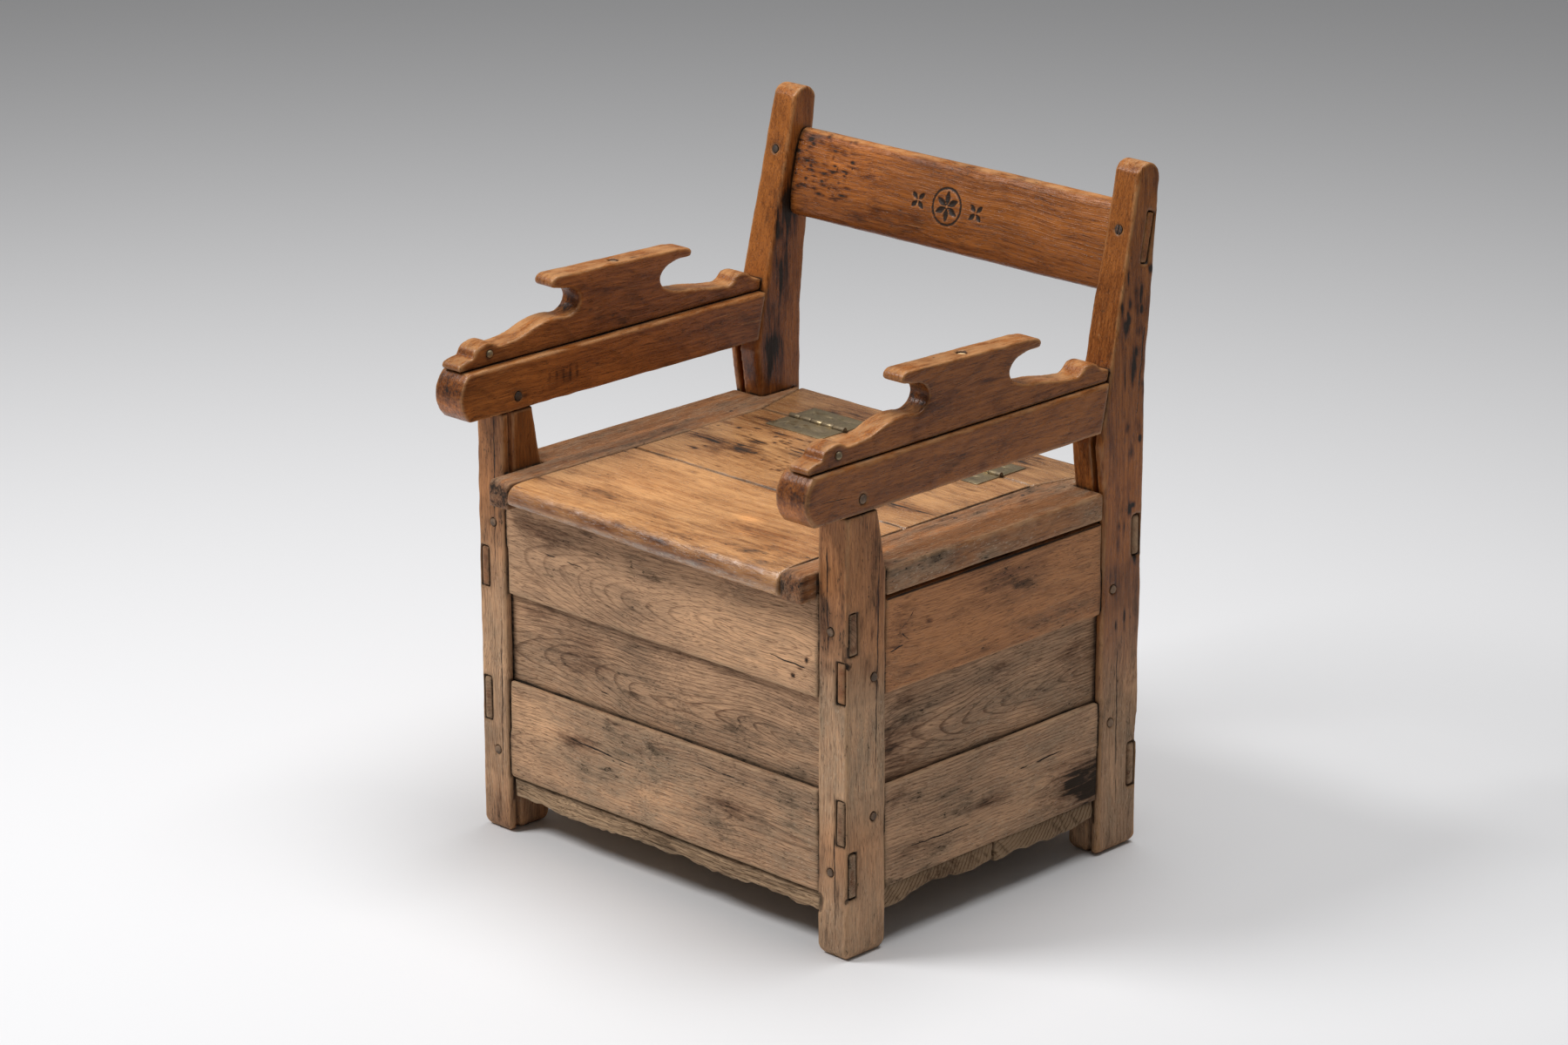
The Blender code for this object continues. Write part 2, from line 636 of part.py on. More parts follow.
def leaf_outline(way, starts):
    """Top view of a hinge leaf: a plate with a tab into each of its own knuckles."""
    outline = [(half_length, way * LEAF_WIDTH), (-half_length, way * LEAF_WIDTH)]
    outline.append((-half_length, way * knuckle_room))
    for start in starts:
        low, high = start + tab_inset, start + knuckle_length - tab_inset
        outline += [(low, way * knuckle_room), (low, way * tab_end)]
        outline += [(high, way * tab_end), (high, way * knuckle_room)]
    return outline + [(half_length, way * knuckle_room)]


screw_places = {}
leaves = {"fixed": [], "lid": []}
hinge_pins = []
let_in = {"fixed": [], "lid": []}
for name, sign in HANDS:
    axis = place(sign * (lid_half_width - HINGE_INSET), pin_depth, pin_height)
    turn = axis @ ALONG_X
    hinge_pins.append(add_turned(
        f"hinge_pin_{name}", rod(PIN_RADIUS, -half_length, half_length), turn))
    for kind, way, first in (("fixed", 1, 0), ("lid", -1, 1)):
        starts = [knuckle * knuckle_length - half_length for knuckle in range(first, HINGE_KNUCKLES, 2)]
        leaf = add_prism(
            f"hinge_{kind}_leaf_{name}", leaf_outline(way, starts), LEAF_THICKNESS,
            axis @ Matrix.Translation((0, 0, (leaf_top + leaf_base) / 2)))
        knuckle_places = [turn @ Matrix.Translation((0, 0, start)) for start in starts]
        join(leaf, add_turned(
            f"hinge_knuckles_{kind}_{name}", knuckle_profile, *knuckle_places, collection=tools))
        leaves[kind].append(leaf)
        near, far = sorted((-way * BARREL_RADIUS, way * (LEAF_WIDTH + FIT_GAP)))
        let_in[kind].append(add_box(
            f"leaf_recess_{kind}_{name}", (-half_length - FIT_GAP, near, leaf_base - FIT_GAP),
            (half_length + FIT_GAP, far, BARREL_RADIUS), axis, tools))
        let_in[kind].append(add_turned(
            f"barrel_recess_{kind}_{name}",
            rod(knuckle_room, -half_length - FIT_GAP, half_length + FIT_GAP), turn, collection=tools))
        screw_places[leaf.name] = [
            axis @ Matrix.Translation((column * SCREW_SPACING, way * SCREW_SETBACK, leaf_top))
            for column in (-1, 0, 1)]

countersink = LEAF_THICKNESS - LEAF_PROUD
screw_hole_profile = (
    (0, LEAF_PROUD), (SCREW_HEAD_RADIUS, LEAF_PROUD), (SCREW_RADIUS, -countersink),
    (SCREW_RADIUS, -2 * LEAF_THICKNESS), (0, -2 * LEAF_THICKNESS),
)
for kind, board in (("fixed", seat_back_strip), ("lid", lid_rear_board)):
    cut(board, *let_in[kind])
    for leaf in leaves[kind]:
        cut(leaf, add_turned(
            f"screw_holes_{leaf.name}", screw_hole_profile, *screw_places[leaf.name], collection=tools))

# Arms: bull nose in front, slanted end with a stub tenon behind, riser board on top
arm_end_low = post_front(arm_underside) - FIT_GAP
arm_end_high = post_front(arm_top) - FIT_GAP
nose_radius = (ARM_HEIGHT ** 2 / 4 + ARM_NOSE_BULGE ** 2) / (2 * ARM_NOSE_BULGE)
nose_spread = math.degrees(math.asin(ARM_HEIGHT / 2 / nose_radius))
arm_outline = (
    [(arm_end_low, arm_underside), (arm_end_high, arm_top)]
    + arc((nose_radius - ARM_OVERHANG, arm_underside + ARM_HEIGHT / 2), nose_radius,
          180 - nose_spread, 180 + nose_spread)
)
arm_middle = half_width - ARM_WIDTH / 2
tenon_low = arm_underside + (ARM_HEIGHT - ARM_TENON_HEIGHT) / 2
tenon_high = tenon_low + ARM_TENON_HEIGHT
tenon_root = arm_end_low - ARM_TENON_LENGTH
tenon_tip = arm_end_high + ARM_TENON_LENGTH
riser_middle = half_width - RISER_LEDGE - RISER_THICKNESS / 2
riser_front = RISER_SETBACK - ARM_OVERHANG
riser_end = post_front(riser_base + RISER_END_HEIGHT) - FIT_GAP
riser_outline = (
    [(riser_front + along, height, smooth) for along, height, smooth in RISER_FRONT_OUTLINE]
    + [(riser_end - along, height, smooth) for along, height, smooth in RISER_BACK_OUTLINE]
    + [(riser_end, RISER_END_HEIGHT, False), (post_front(riser_base) - FIT_GAP, 0, False)]
)
dowel_top = riser_base + RISER_BACK_OUTLINE[0][1] + FIT_GAP
dowel_base = riser_base - DOWEL_GRIP
arm_peg_height = (arm_underside + arm_mortise_top) / 2
arms, risers = [], []
dowel_places, rivet_places, arm_peg_places = [], [], []
for name, sign in HANDS:
    arm = add_prism(f"arm_{name}", arm_outline, ARM_WIDTH, place(sign * arm_middle, 0, 0) @ SIDE_VIEW)
    stub = add_box(
        f"arm_tenon_{name}", (sign * post_middle - ARM_TENON_WIDTH / 2, tenon_root, tenon_low),
        (sign * post_middle + ARM_TENON_WIDTH / 2, tenon_tip, tenon_high), collection=tools)
    mortise_low = sign * post_middle - ARM_TENON_WIDTH / 2 - FIT_GAP
    mortise_high = sign * post_middle + ARM_TENON_WIDTH / 2 + FIT_GAP
    socket = add_box(
        f"arm_socket_{name}", (mortise_low, tenon_root, tenon_low - FIT_GAP),
        (mortise_high, tenon_tip + FIT_GAP, tenon_high + FIT_GAP), collection=tools)
    post_mortise = add_box(
        f"arm_mortise_{name}", (mortise_low, front_tenon_start - FIT_GAP, SEAT_HEIGHT),
        (mortise_high, front_tenon_start + FRONT_POST_TENON_DEPTH + FIT_GAP, arm_mortise_top),
        collection=tools)
    join(arm, stub)
    cut(arm, post_mortise)
    cut(back_posts[name], socket)
    arms.append(arm)
    risers.append(add_outline(
        f"arm_riser_{name}", riser_outline, RISER_THICKNESS,
        place(sign * riser_middle, 0, riser_base) @ SIDE_VIEW))
    dowel_places.append(place(sign * riser_middle, DOWEL_DEPTH, 0))
    rivet_places.append(
        place(sign * riser_middle, riser_front + RIVET_SETBACK, riser_base + RIVET_HEIGHT) @ ALONG_X)
    arm_peg_places.append(place(sign * arm_middle, ARM_PEG_DEPTH, arm_peg_height) @ ALONG_X)

half_riser = RISER_THICKNESS / 2
rivet_head = half_riser + FIT_GAP
rivet_shoulder = RIVET_HEAD_RADIUS * math.cos(DOME_ANGLE)
rivet_rise = rivet_head + RIVET_HEAD_HEIGHT * math.sin(DOME_ANGLE)
rivet_top = rivet_head + RIVET_HEAD_HEIGHT
rivet_half = (
    (0, rivet_top), (rivet_shoulder, rivet_rise), (RIVET_HEAD_RADIUS, rivet_head), (RIVET_RADIUS, rivet_head),
)
rivet_profile = list(rivet_half) + [(radius, -height) for radius, height in reversed(rivet_half)]
half_arm = ARM_WIDTH / 2
riser_dowels, riser_rivets, arm_pegs = [], [], []
for index, (name, _) in enumerate(HANDS):
    riser_dowels.append(add_turned(
        f"riser_dowel_{name}", rod(DOWEL_RADIUS, dowel_base, dowel_top), dowel_places[index]))
    riser_rivets.append(add_turned(f"riser_rivet_{name}", rivet_profile, rivet_places[index]))
    arm_pegs.append(add_turned(
        f"arm_peg_{name}", rod(ARM_PEG_RADIUS, -half_arm - PEG_PROUD, half_arm + PEG_PROUD),
        arm_peg_places[index]))
dowel_holes = add_turned(
    "riser_dowel_holes", rod(DOWEL_RADIUS + FIT_GAP, dowel_base - FIT_GAP, BACK_HEIGHT), *dowel_places,
    collection=tools)
rivet_holes = add_turned(
    "riser_rivet_holes", rod(RIVET_RADIUS + FIT_GAP, -RISER_THICKNESS, RISER_THICKNESS), *rivet_places,
    collection=tools)
arm_peg_holes = add_turned(
    "arm_peg_holes", rod(ARM_PEG_RADIUS + FIT_GAP, -ARM_WIDTH, ARM_WIDTH), *arm_peg_places, collection=tools)
for arm in arms:
    cut(arm, dowel_holes, arm_peg_holes)
for riser in risers:
    cut(riser, dowel_holes, rivet_holes)
for post in front_posts.values():
    cut(post, arm_peg_holes)

# Crest rail: in a frame that leans with the posts, y going back from their front faces
crest_frame = place(0, post_front(crest_middle), crest_middle) @ Matrix.Rotation(-BACK_LEAN, 4, "X")
half_crest = CREST_HEIGHT / 2
crest_upper = [
    (CREST_SETBACK + CREST_THICKNESS * depth, half_crest * rise, smooth)
    for depth, rise, smooth in CREST_SECTION_SHARES]
crest_lower = [(depth, -rise, smooth) for depth, rise, smooth in reversed(crest_upper)]
crest_outline = [(CREST_SETBACK, 0, True)] + crest_upper + crest_lower
crest_rail = add_outline(
    "crest_rail", crest_outline, 2 * (inner_width - FIT_GAP), crest_frame @ SIDE_VIEW)
crest_tenon_back = CREST_TENON_SETBACK + CREST_TENON_THICKNESS
crest_tenon_low = CREST_TENON_RISE - CREST_TENON_HEIGHT / 2
crest_tenon_high = CREST_TENON_RISE + CREST_TENON_HEIGHT / 2
crest_tenon_end = post_outer(crest_middle + crest_tenon_high)
crest_tenon = add_box(
    "crest_tenon", (-crest_tenon_end, CREST_TENON_SETBACK, crest_tenon_low),
    (crest_tenon_end, crest_tenon_back, crest_tenon_high), crest_frame, tools)
crest_mortise = add_box(
    "crest_mortise", (-half_width - POST_WIDTH, CREST_TENON_SETBACK - FIT_GAP, crest_tenon_low - FIT_GAP),
    (half_width + POST_WIDTH, crest_tenon_back + FIT_GAP, crest_tenon_high + FIT_GAP), crest_frame, tools)
join(crest_rail, crest_tenon)
crest_peg_end = crest_tenon_back + CREST_TENON_THICKNESS / 4
crest_peg_places = [
    crest_frame @ Matrix.Translation((sign * (inner_width + PEG_SETBACK), 0, CREST_PEG_RISE)) @ ALONG_Y
    for _, sign in HANDS]
crest_pegs = [
    add_turned(f"crest_peg_{name}", rod(PEG_RADIUS, -PEG_PROUD, crest_peg_end), peg_place)
    for (name, _), peg_place in zip(HANDS, crest_peg_places)]
crest_peg_holes = add_turned(
    "crest_peg_holes", rod(peg_hole_radius, -CREST_THICKNESS, crest_peg_end + FIT_GAP), *crest_peg_places,
    collection=tools)
cut(crest_rail, crest_peg_holes)
for post in back_posts.values():
    cut(post, crest_mortise, crest_peg_holes)

# The lid's pieces hang on an empty on the hinge axis
hinge_axis = bpy.data.objects.new("lid_hinge_axis", None)
hinge_axis.matrix_world = place(0, pin_depth, pin_height)
pieces.objects.link(hinge_axis)
for piece in (lid_front_board, lid_rear_board, *battens, *leaves["lid"]):
    piece.parent = hinge_axis
    piece.matrix_parent_inverse = place(0, pin_depth, pin_height).inverted()

# Materials
finish(WAXED_WOOD, *arms, *risers, *back_posts.values(), crest_rail)
finish(SEAT_WOOD, lid_front_board, lid_rear_board, seat_back_strip, *bearers.values())
finish(DUSTY_WOOD, *front_posts.values(), *rails.values(), *panels)
finish(RAW_WOOD, *floor_boards, *battens)
finish(PEG_WOOD, *drawbore_pegs, *crest_pegs, *arm_pegs, *riser_dowels)
finish(AGED_BRASS, *leaves["fixed"], *leaves["lid"], *hinge_pins, *riser_rivets)
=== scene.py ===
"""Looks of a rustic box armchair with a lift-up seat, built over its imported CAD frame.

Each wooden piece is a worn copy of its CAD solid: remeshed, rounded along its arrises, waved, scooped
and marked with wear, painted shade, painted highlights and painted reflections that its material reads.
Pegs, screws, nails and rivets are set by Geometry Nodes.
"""
import json
import math
from collections import namedtuple
from types import SimpleNamespace

import bmesh
import bpy
import numpy as np
from bpy.props import FloatProperty, FloatVectorProperty, IntProperty, PointerProperty
from bpy.types import NodeSocket, Operator, Panel, PropertyGroup
from mathutils import Matrix, Vector
from mathutils.bvhtree import BVHTree

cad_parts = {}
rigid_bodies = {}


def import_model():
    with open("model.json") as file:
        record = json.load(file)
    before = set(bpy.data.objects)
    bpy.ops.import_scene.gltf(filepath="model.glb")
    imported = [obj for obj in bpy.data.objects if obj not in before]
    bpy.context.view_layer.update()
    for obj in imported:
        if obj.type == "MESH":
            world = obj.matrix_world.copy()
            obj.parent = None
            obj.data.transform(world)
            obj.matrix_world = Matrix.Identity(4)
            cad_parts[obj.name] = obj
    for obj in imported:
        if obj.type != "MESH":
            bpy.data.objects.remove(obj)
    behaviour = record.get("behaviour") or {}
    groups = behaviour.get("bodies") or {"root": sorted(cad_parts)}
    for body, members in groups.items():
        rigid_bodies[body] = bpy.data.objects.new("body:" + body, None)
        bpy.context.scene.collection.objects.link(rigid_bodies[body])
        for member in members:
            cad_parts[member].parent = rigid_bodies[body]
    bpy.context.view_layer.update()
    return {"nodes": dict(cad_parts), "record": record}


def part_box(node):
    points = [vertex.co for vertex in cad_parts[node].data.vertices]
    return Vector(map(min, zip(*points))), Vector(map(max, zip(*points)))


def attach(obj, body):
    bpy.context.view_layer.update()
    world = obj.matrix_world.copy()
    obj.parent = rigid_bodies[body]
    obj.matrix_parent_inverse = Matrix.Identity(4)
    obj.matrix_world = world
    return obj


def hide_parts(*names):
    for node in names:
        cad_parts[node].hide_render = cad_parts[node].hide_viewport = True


bl_info = {
    "name": "Rustic Box Armchair",
    "version": (1, 0, 0),
    "blender": (4, 5, 0),
    "location": "View3D > Sidebar > Armchair",
    "description": "Dresses a wooden box armchair with worn, waxed and dusty old wood",
    "category": "Add Mesh",
}

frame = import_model()

# Sizes that follow from the frame
FRONT_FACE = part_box("front_post_left")[0].y
HALF_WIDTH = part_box("front_post_right")[1].x
POST_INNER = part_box("front_post_right")[0].x
SEAT_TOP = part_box("lid_front_board")[1].z
ARM_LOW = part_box("arm_right")[0].z
ARM_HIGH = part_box("arm_right")[1].z
ARM_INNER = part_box("arm_right")[0].x
SIDES = (("left", -1), ("right", 1))
BODY_OF = {node: body for body, nodes in frame["record"]["behaviour"]["bodies"].items() for node in nodes}

# Sections of the posts: depths behind the front faces
FRONT_POST_DEPTH = 0.064
NECK_DEPTH = 0.0625
POST_TOP_DEPTH = 0.050
POST_DEPTH = 0.430
ELBOW_HEIGHT = 0.510
ELBOW_SWELL = 0.0085
LEAN = math.radians(12.5)
LEAN_SLOPE = math.tan(LEAN)
BACK_BEND = 0.555
BACK_SLOPE = 0.110
OUTER_TAPER = 0.0281
CHAIR_DEPTH = 0.500

# Numbers that several steps share
TINY = 1e-9
MERGE_DISTANCE = 2e-6
HASH_PRIMES = (73856093, 19349663, 83492791)
SEED_PRIME = 2654435761
MIXING_PRIME = 1274126177
WAVE_CELL, DENT_CELL, GRIT_CELL = 0.07, 0.016, 0.005
RUBBED_CELL, DUST_CELL = 0.02, 0.13
STREAK_WIDTH, STREAK_LENGTH = 0.006, 0.03
NO_DUST = (0, 1, 0)
FACING = 0.7
SHARP_ANGLE = math.radians(50)
END_INSET = 0.0002
LEFT, RIGHT = Vector((-1, 0, 0)), Vector((1, 0, 0))
FORWARD, BACKWARD = Vector((0, -1, 0)), Vector((0, 1, 0))
DOWN, UP = Vector((0, 0, -1)), Vector((0, 0, 1))


def spot(x, depth, z):
    """A point given by its depth behind the front posts' front faces."""
    return (x, FRONT_FACE + depth, z)


def patches(rows, sign=1):
    """Soft patches (middle, radii, strength) from rows of x, depth, z, three radii and a strength."""
    return [(spot(sign * x, depth, z), radii, strength) for x, depth, z, *radii, strength in rows]


def crack_lines(rows, sign=1):
    """Cracks (start, end, width, wander) from rows of two places, a width and a wander."""
    return [
        (spot(sign * x1, depth1, z1), spot(sign * x2, depth2, z2), width, wander)
        for x1, depth1, z1, x2, depth2, z2, width, wander in rows]


# Settings

def number(name, description, default, subtype="NONE", **limits):
    """A number setting."""
    return FloatProperty(name=name, description=description, default=default, subtype=subtype, **limits)


def colour(name, description, default):
    """A colour setting."""
    return FloatVectorProperty(
        name=name, description=description, default=default, min=0, max=1, subtype="COLOR")


class WearSettings(PropertyGroup):
    """How far age has worn the wood."""

    wave: number(
        "Plane waves", "Height of the slow waves that hand planing leaves", 0.00035, "DISTANCE", min=0, max=0.002)
    dents: number("Dents", "Depth of the small knocks all over the wood", 0.0002, "DISTANCE", min=0, max=0.001)
    arris: number(
        "Arris radius", "Mean radius of the worn edges of posts and arms", 0.0045, "DISTANCE", min=0.001, max=0.012)
    # Reach of the darkening near joints: joint dirt and painted shade alike
    grime_reach: number(
        "Grime reach", "How far dirt spreads from a joint between two pieces", 0.009, "DISTANCE",
        min=0.002, max=0.04)
    seed: IntProperty(name="Seed", description="Seed of all the wear", default=7, min=0)


class WoodColours(PropertyGroup):
    """Colours of the waxed, seat, oiled, dusty and raw wood, and of the brass."""

    waxed_light: colour("Waxed, light", "Light grain of the arms, posts and crest", (0.355, 0.120, 0.026))
    waxed_dark: colour("Waxed, dark", "Dark grain of the arms, posts and crest", (0.125, 0.033, 0.007))
    seat_light: colour("Seat, light", "Light grain of the seat boards", (0.63, 0.330, 0.138))
    seat_dark: colour("Seat, dark", "Dark grain of the seat boards", (0.270, 0.100, 0.033))
    oiled_light: colour("Oiled, light", "Light grain of the side top rails", (0.52, 0.225, 0.085))
    oiled_dark: colour("Oiled, dark", "Dark grain of the side top rails", (0.21, 0.075, 0.026))
    dusty_light: colour("Dusty, light", "Light grain of the box sides", (0.57, 0.338, 0.192))
    dusty_dark: colour("Dusty, dark", "Dark grain of the box sides", (0.225, 0.133, 0.079))
    raw_light: colour("Raw, light", "Light grain of the rough floor boards", (0.50, 0.330, 0.195))
    raw_dark: colour("Raw, dark", "Dark grain of the rough floor boards", (0.165, 0.108, 0.066))
    brass_bright: colour("Brass, rubbed", "Brass where it is rubbed clean", (0.42, 0.33, 0.19))
    brass_dull: colour("Brass, tarnished", "Brass under its brown green tarnish", (0.17, 0.130, 0.080))


class StageSettings(PropertyGroup):
    """Camera, lights and floor."""

    azimuth: number("Azimuth", "Angle of the camera round the chair from straight ahead", 0.772475890, "ANGLE")
    elevation: number("Elevation", "Angle of the camera above the horizon", 0.323369697, "ANGLE")
    roll: number("Roll", "Turn of the camera about its line of sight", -0.001715, "ANGLE")
    distance: number("Distance", "From the camera to the point it looks at", 5.522394, "DISTANCE", min=1)
    target: FloatVectorProperty(
        name="Target", description="Point that the camera looks at",
        default=(0.006006, -0.029263, 0.404144), subtype="TRANSLATION")
    lens: number("Lens", "Focal length in millimetres", 108.968, min=10)
    key_power: number("Key light", "Power of the large soft light from the front left", 124, "POWER", min=0)
    top_power: number("Top light", "Power of the soft light overhead", 98, "POWER", min=0)
    floor_colour: colour("Floor", "Colour of the pale floor", (0.75, 0.75, 0.76))


# Noise and mesh helpers

def lattice_noise(points, cell, seed):
    """Smooth noise between -1 and 1 at each point, on a lattice of one cell size or three."""
    scaled = points / np.asarray(cell)
    base = np.floor(scaled).astype(np.int64)
    share = scaled - base
    share = share * share * (3 - 2 * share)
    total = np.zeros(len(points))
    for corner in np.ndindex(2, 2, 2):
        x, y, z = ((base + corner) * HASH_PRIMES).T
        mixed = x ^ y ^ z ^ (seed * SEED_PRIME)
        mixed = (mixed ^ (mixed >> 13)) * MIXING_PRIME & 0x7FFFFFFF
        mixed = (mixed ^ (mixed >> 16)) & 0xFFFF
        weight = np.prod(np.where(corner, share, 1 - share), axis=1)
        total += weight * (mixed / 0x7FFF - 1)
    return total


def layered_noise(points, start, *layers):
    """A start value and layers of smooth noise about it, each (swing, cell, seed)."""
    for swing, cell, seed in layers:
        start = start + swing * lattice_noise(points, cell, seed)
    return start


def smoothstep(low, high, values):
    """0 below low, 1 above high and a smooth slope between."""
    share = np.clip((values - low) / (high - low), 0, 1)
    return share * share * (3 - 2 * share)


def read_rows(items, key, width, kind=np.float32):
    """One row of numbers for each vertex, edge or mark of a mesh."""
    values = np.empty(len(items) * width, kind)
    items.foreach_get(key, values)
    return values.reshape(-1, width)


def get_points(mesh):
    """Vertex places of a mesh as an array."""
    return read_rows(mesh.vertices, "co", 3).astype(np.float64)


def set_points(mesh, points):
    """Puts an array of places back in a mesh."""
    mesh.vertices.foreach_set("co", points.astype(np.float32).ravel())
    mesh.update()


def get_mark(mesh, name):
    """One of the marks of a mesh as an array."""
    return read_rows(mesh.attributes[name].data, "value", 1)[:, 0]


def set_mark(mesh, name, values):
    """Keeps one number for each vertex, for the materials to read."""
    mark = mesh.attributes.get(name) or mesh.attributes.new(name, "FLOAT", "POINT")
    mark.data.foreach_set("value", np.asarray(values, np.float32))


def smoothed(points, edges, passes, share=0.6):
    """Moves each point towards the mean of its neighbours, a number of times."""
    count = len(points)
    first, second = edges.T
    degree = np.bincount(first, minlength=count) + np.bincount(second, minlength=count)
    degree = np.maximum(degree, 1)
    for _ in range(passes):
        mean = np.empty_like(points)
        for axis in range(3):
            mean[:, axis] = (
                np.bincount(first, points[second, axis], count)
                + np.bincount(second, points[first, axis], count)) / degree
        points = points + (mean - points) * share
    return points


def new_object(name, data):
    """Links a new object to the scene."""
    item = bpy.data.objects.new(name, data)
    bpy.context.scene.collection.objects.link(item)
    return item


def new_piece(name, mesh, nodes):
    """A piece that stands for CAD nodes and rides with them."""
    piece = new_object(name, mesh)
    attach(piece, BODY_OF[nodes[0]])
    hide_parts(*nodes)
    return piece


def middle_of(node):
    """Middle of a CAD node's box."""
    low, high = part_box(node)
    return (low + high) / 2


def merged_copy(node):
    """A copy of a CAD node's mesh with its loose triangles joined."""
    shape = bmesh.new()
    shape.from_mesh(frame["nodes"][node].data)
    bmesh.ops.remove_doubles(shape, verts=shape.verts, dist=MERGE_DISTANCE)
    return finished_mesh(node + "_copy", shape)


def finished_mesh(name, shape):
    """A mesh of what was built in a bmesh."""
    mesh = bpy.data.meshes.new(name)
    shape.to_mesh(mesh)
    shape.free()
    return mesh


def modified(mesh, kind, **settings):
    """The mesh that one modifier gives."""
    def add_modifier(holder):
        modifier = holder.modifiers.new(kind.lower(), kind)
        for key, value in settings.items():
            setattr(modifier, key, value)
    return evaluated_mesh(mesh, add_modifier)


def evaluated_mesh(mesh, add_modifier):
    """The mesh that a temporary object's modifier gives."""
    holder = new_object("holder", mesh)
    add_modifier(holder)
    graph = bpy.context.evaluated_depsgraph_get()
    result = bpy.data.meshes.new_from_object(holder.evaluated_get(graph), depsgraph=graph)
    bpy.data.objects.remove(holder)
    bpy.data.meshes.remove(mesh)
    return result


def softened(mesh):
    """Shades a mesh smooth, but for its sharp edges."""
    mesh.shade_smooth()
    mesh.set_sharp_from_angle(angle=SHARP_ANGLE)
    return mesh


def neighbour_tree(node):
    """A search tree over all the CAD solids but one."""
    corners, triangles = [], []
    for other, solid in frame["nodes"].items():
        if other == node:
            continue
        start = len(corners)
        corners += [vertex.co.copy() for vertex in solid.data.vertices]
        triangles += [[start + corner for corner in face.vertices] for face in solid.data.polygons]
    return BVHTree.FromPolygons(corners, triangles)


def joint_grime_and_shade(node, points, reach):
    """How near each point lies to another piece, for joint dirt and painted shade: 1 against another piece, 0
    beyond the reach.
    """
    tree = neighbour_tree(node)
    gaps = np.full(len(points), reach)
    for index, point in enumerate(points):
        found = tree.find_nearest(Vector(point), reach)
        if found[3] is not None:
            gaps[index] = found[3]
    return 1 - np.clip(gaps / reach, 0, 1)


# Shapers: each takes the places of a piece's vertices and returns worn ones

def rounded_arrises(along, low, high, radius, seed):
    """Rounds the long edges of a piece whose section runs from low to high across its length."""
    section = [axis for axis in range(3) if axis != along]

    def shape(points):
        bottom, top = low(points), high(points)
        middle, half = (bottom + top) / 2, (top - bottom) / 2
        local = points[:, section] - middle
        side = np.sign(local)
        place = points.copy()
        place[:, section] = side
        worn = radius * layered_noise(place, 1, (0.75, 0.06, seed), (0.45, 0.018, seed))
        worn = np.maximum(worn, radius * 0.3)[:, None]
        core = half - worn
        out = np.abs(local) - core
        length = np.linalg.norm(np.maximum(out, 0), axis=1)[:, None]
        cut = ((out > 0).all(axis=1) & (length[:, 0] > worn[:, 0]))[:, None]
        out = np.where(cut, out * worn / np.maximum(length, TINY), out)
        result = points.copy()
        result[:, section] = middle + side * (core + out)
        return np.where(cut, result, points)
    return shape


def scooped(centre, radius, seed, stretch=(1, 1, 1)):
    """Breaks a hollow out of the wood where a ragged ball overlaps it."""
    def shape(points):
        away = (points - centre) / np.asarray(stretch)
        length = np.maximum(np.linalg.norm(away, axis=1), TINY)
        ragged = radius * layered_noise(points, 1, (0.22, 0.006, seed), (0.2, 0.014, seed))
        push = np.where(length < ragged, ragged / length, 1)[:, None]
        return centre + away * push * np.asarray(stretch)
    return shape


def chips(rows):
    """Scoops drawn out upwards, from rows of x, depth, z, a radius, a seed and a stretch."""
    return [
        scooped(spot(x, depth, z), radius, seed, (1, 1, stretch)) for x, depth, z, radius, seed, stretch in rows]


def worn_foot(height, inset):
    """Rounds the bottom end of a post."""
    def shape(points):
        middle = (points.min(axis=0) + points.max(axis=0)) / 2
        share = np.clip(1 - points[:, 2] / height, 0, 1) ** 2
        result = points.copy()
        for axis in (0, 1):
            result[:, axis] -= np.sign(points[:, axis] - middle[axis]) * share * inset
        return result
    return shape


def ragged_underside(depth, seed):
    """Tears the lower edges of a floor board."""
    def shape(points):
        low, high = points.min(axis=0), points.max(axis=0)
        near_edge = np.minimum(points[:, :2] - low[:2], high[:2] - points[:, :2]).min(axis=1)
        share = smoothstep(0.06, 0.0, near_edge) * (high[2] - points[:, 2]) / (high[2] - low[2])
        flat = points * (1, 1, 0)
        torn = layered_noise(
            flat, 0.30, (0.45, (0.16, 0.05, 1), seed), (0.22, (0.03, 0.02, 1), seed + 1),
            (0.18, (0.008, 0.01, 1), seed + 4))
        result = points.copy()
        result[:, 2] += share * np.clip(torn, 0, 1.2) * depth
        slanted = points + points[:, 2:] * (0, 0.8, 0)
        fibres = lattice_noise(slanted, (0.05, 0.004, 0.05), seed + 2)
        splinters = lattice_noise(points, (0.05, 0.003, 0.0035), seed + 3)
        outward = np.sign(points[:, :2] - (low[:2] + high[:2]) / 2)
        edge = smoothstep(0.004, 0.0, near_edge)
        cut = 0.0022 * np.clip(fibres, 0, 1) + 0.0012 * np.clip(splinters, 0, 1)
        result[:, :2] -= outward * (edge * cut)[:, None]
        return result
    return shape


def lens_cut(along, across, length, width):
    """Share of full depth of one lens-shaped V cut that starts at zero along its axis."""
    share = np.clip(along / length, 0, 1)
    half = np.maximum(width * np.sin(np.pi * share), 1e-6)
    return np.clip(1 - np.abs(across) / half, 0, 1) * ((along > 0) & (along < length))


# The crest's chip carving: flowers as (place across, petals, petal length, petal width)
STAR = (4, 0.012, 0.0040)
FLOWERS = ((0, 6, 0.018, 0.0048), (-0.046, *STAR), (0.046, *STAR))
PETAL_START = 0.0012
RING_RADIUS, RING_WIDTH = 0.0220, 0.0019
CARVING_DEPTH = 0.0016
CREST_INTO = Vector((0, math.cos(LEAN), -math.sin(LEAN)))
CREST_UP = Vector((0, math.sin(LEAN), math.cos(LEAN)))


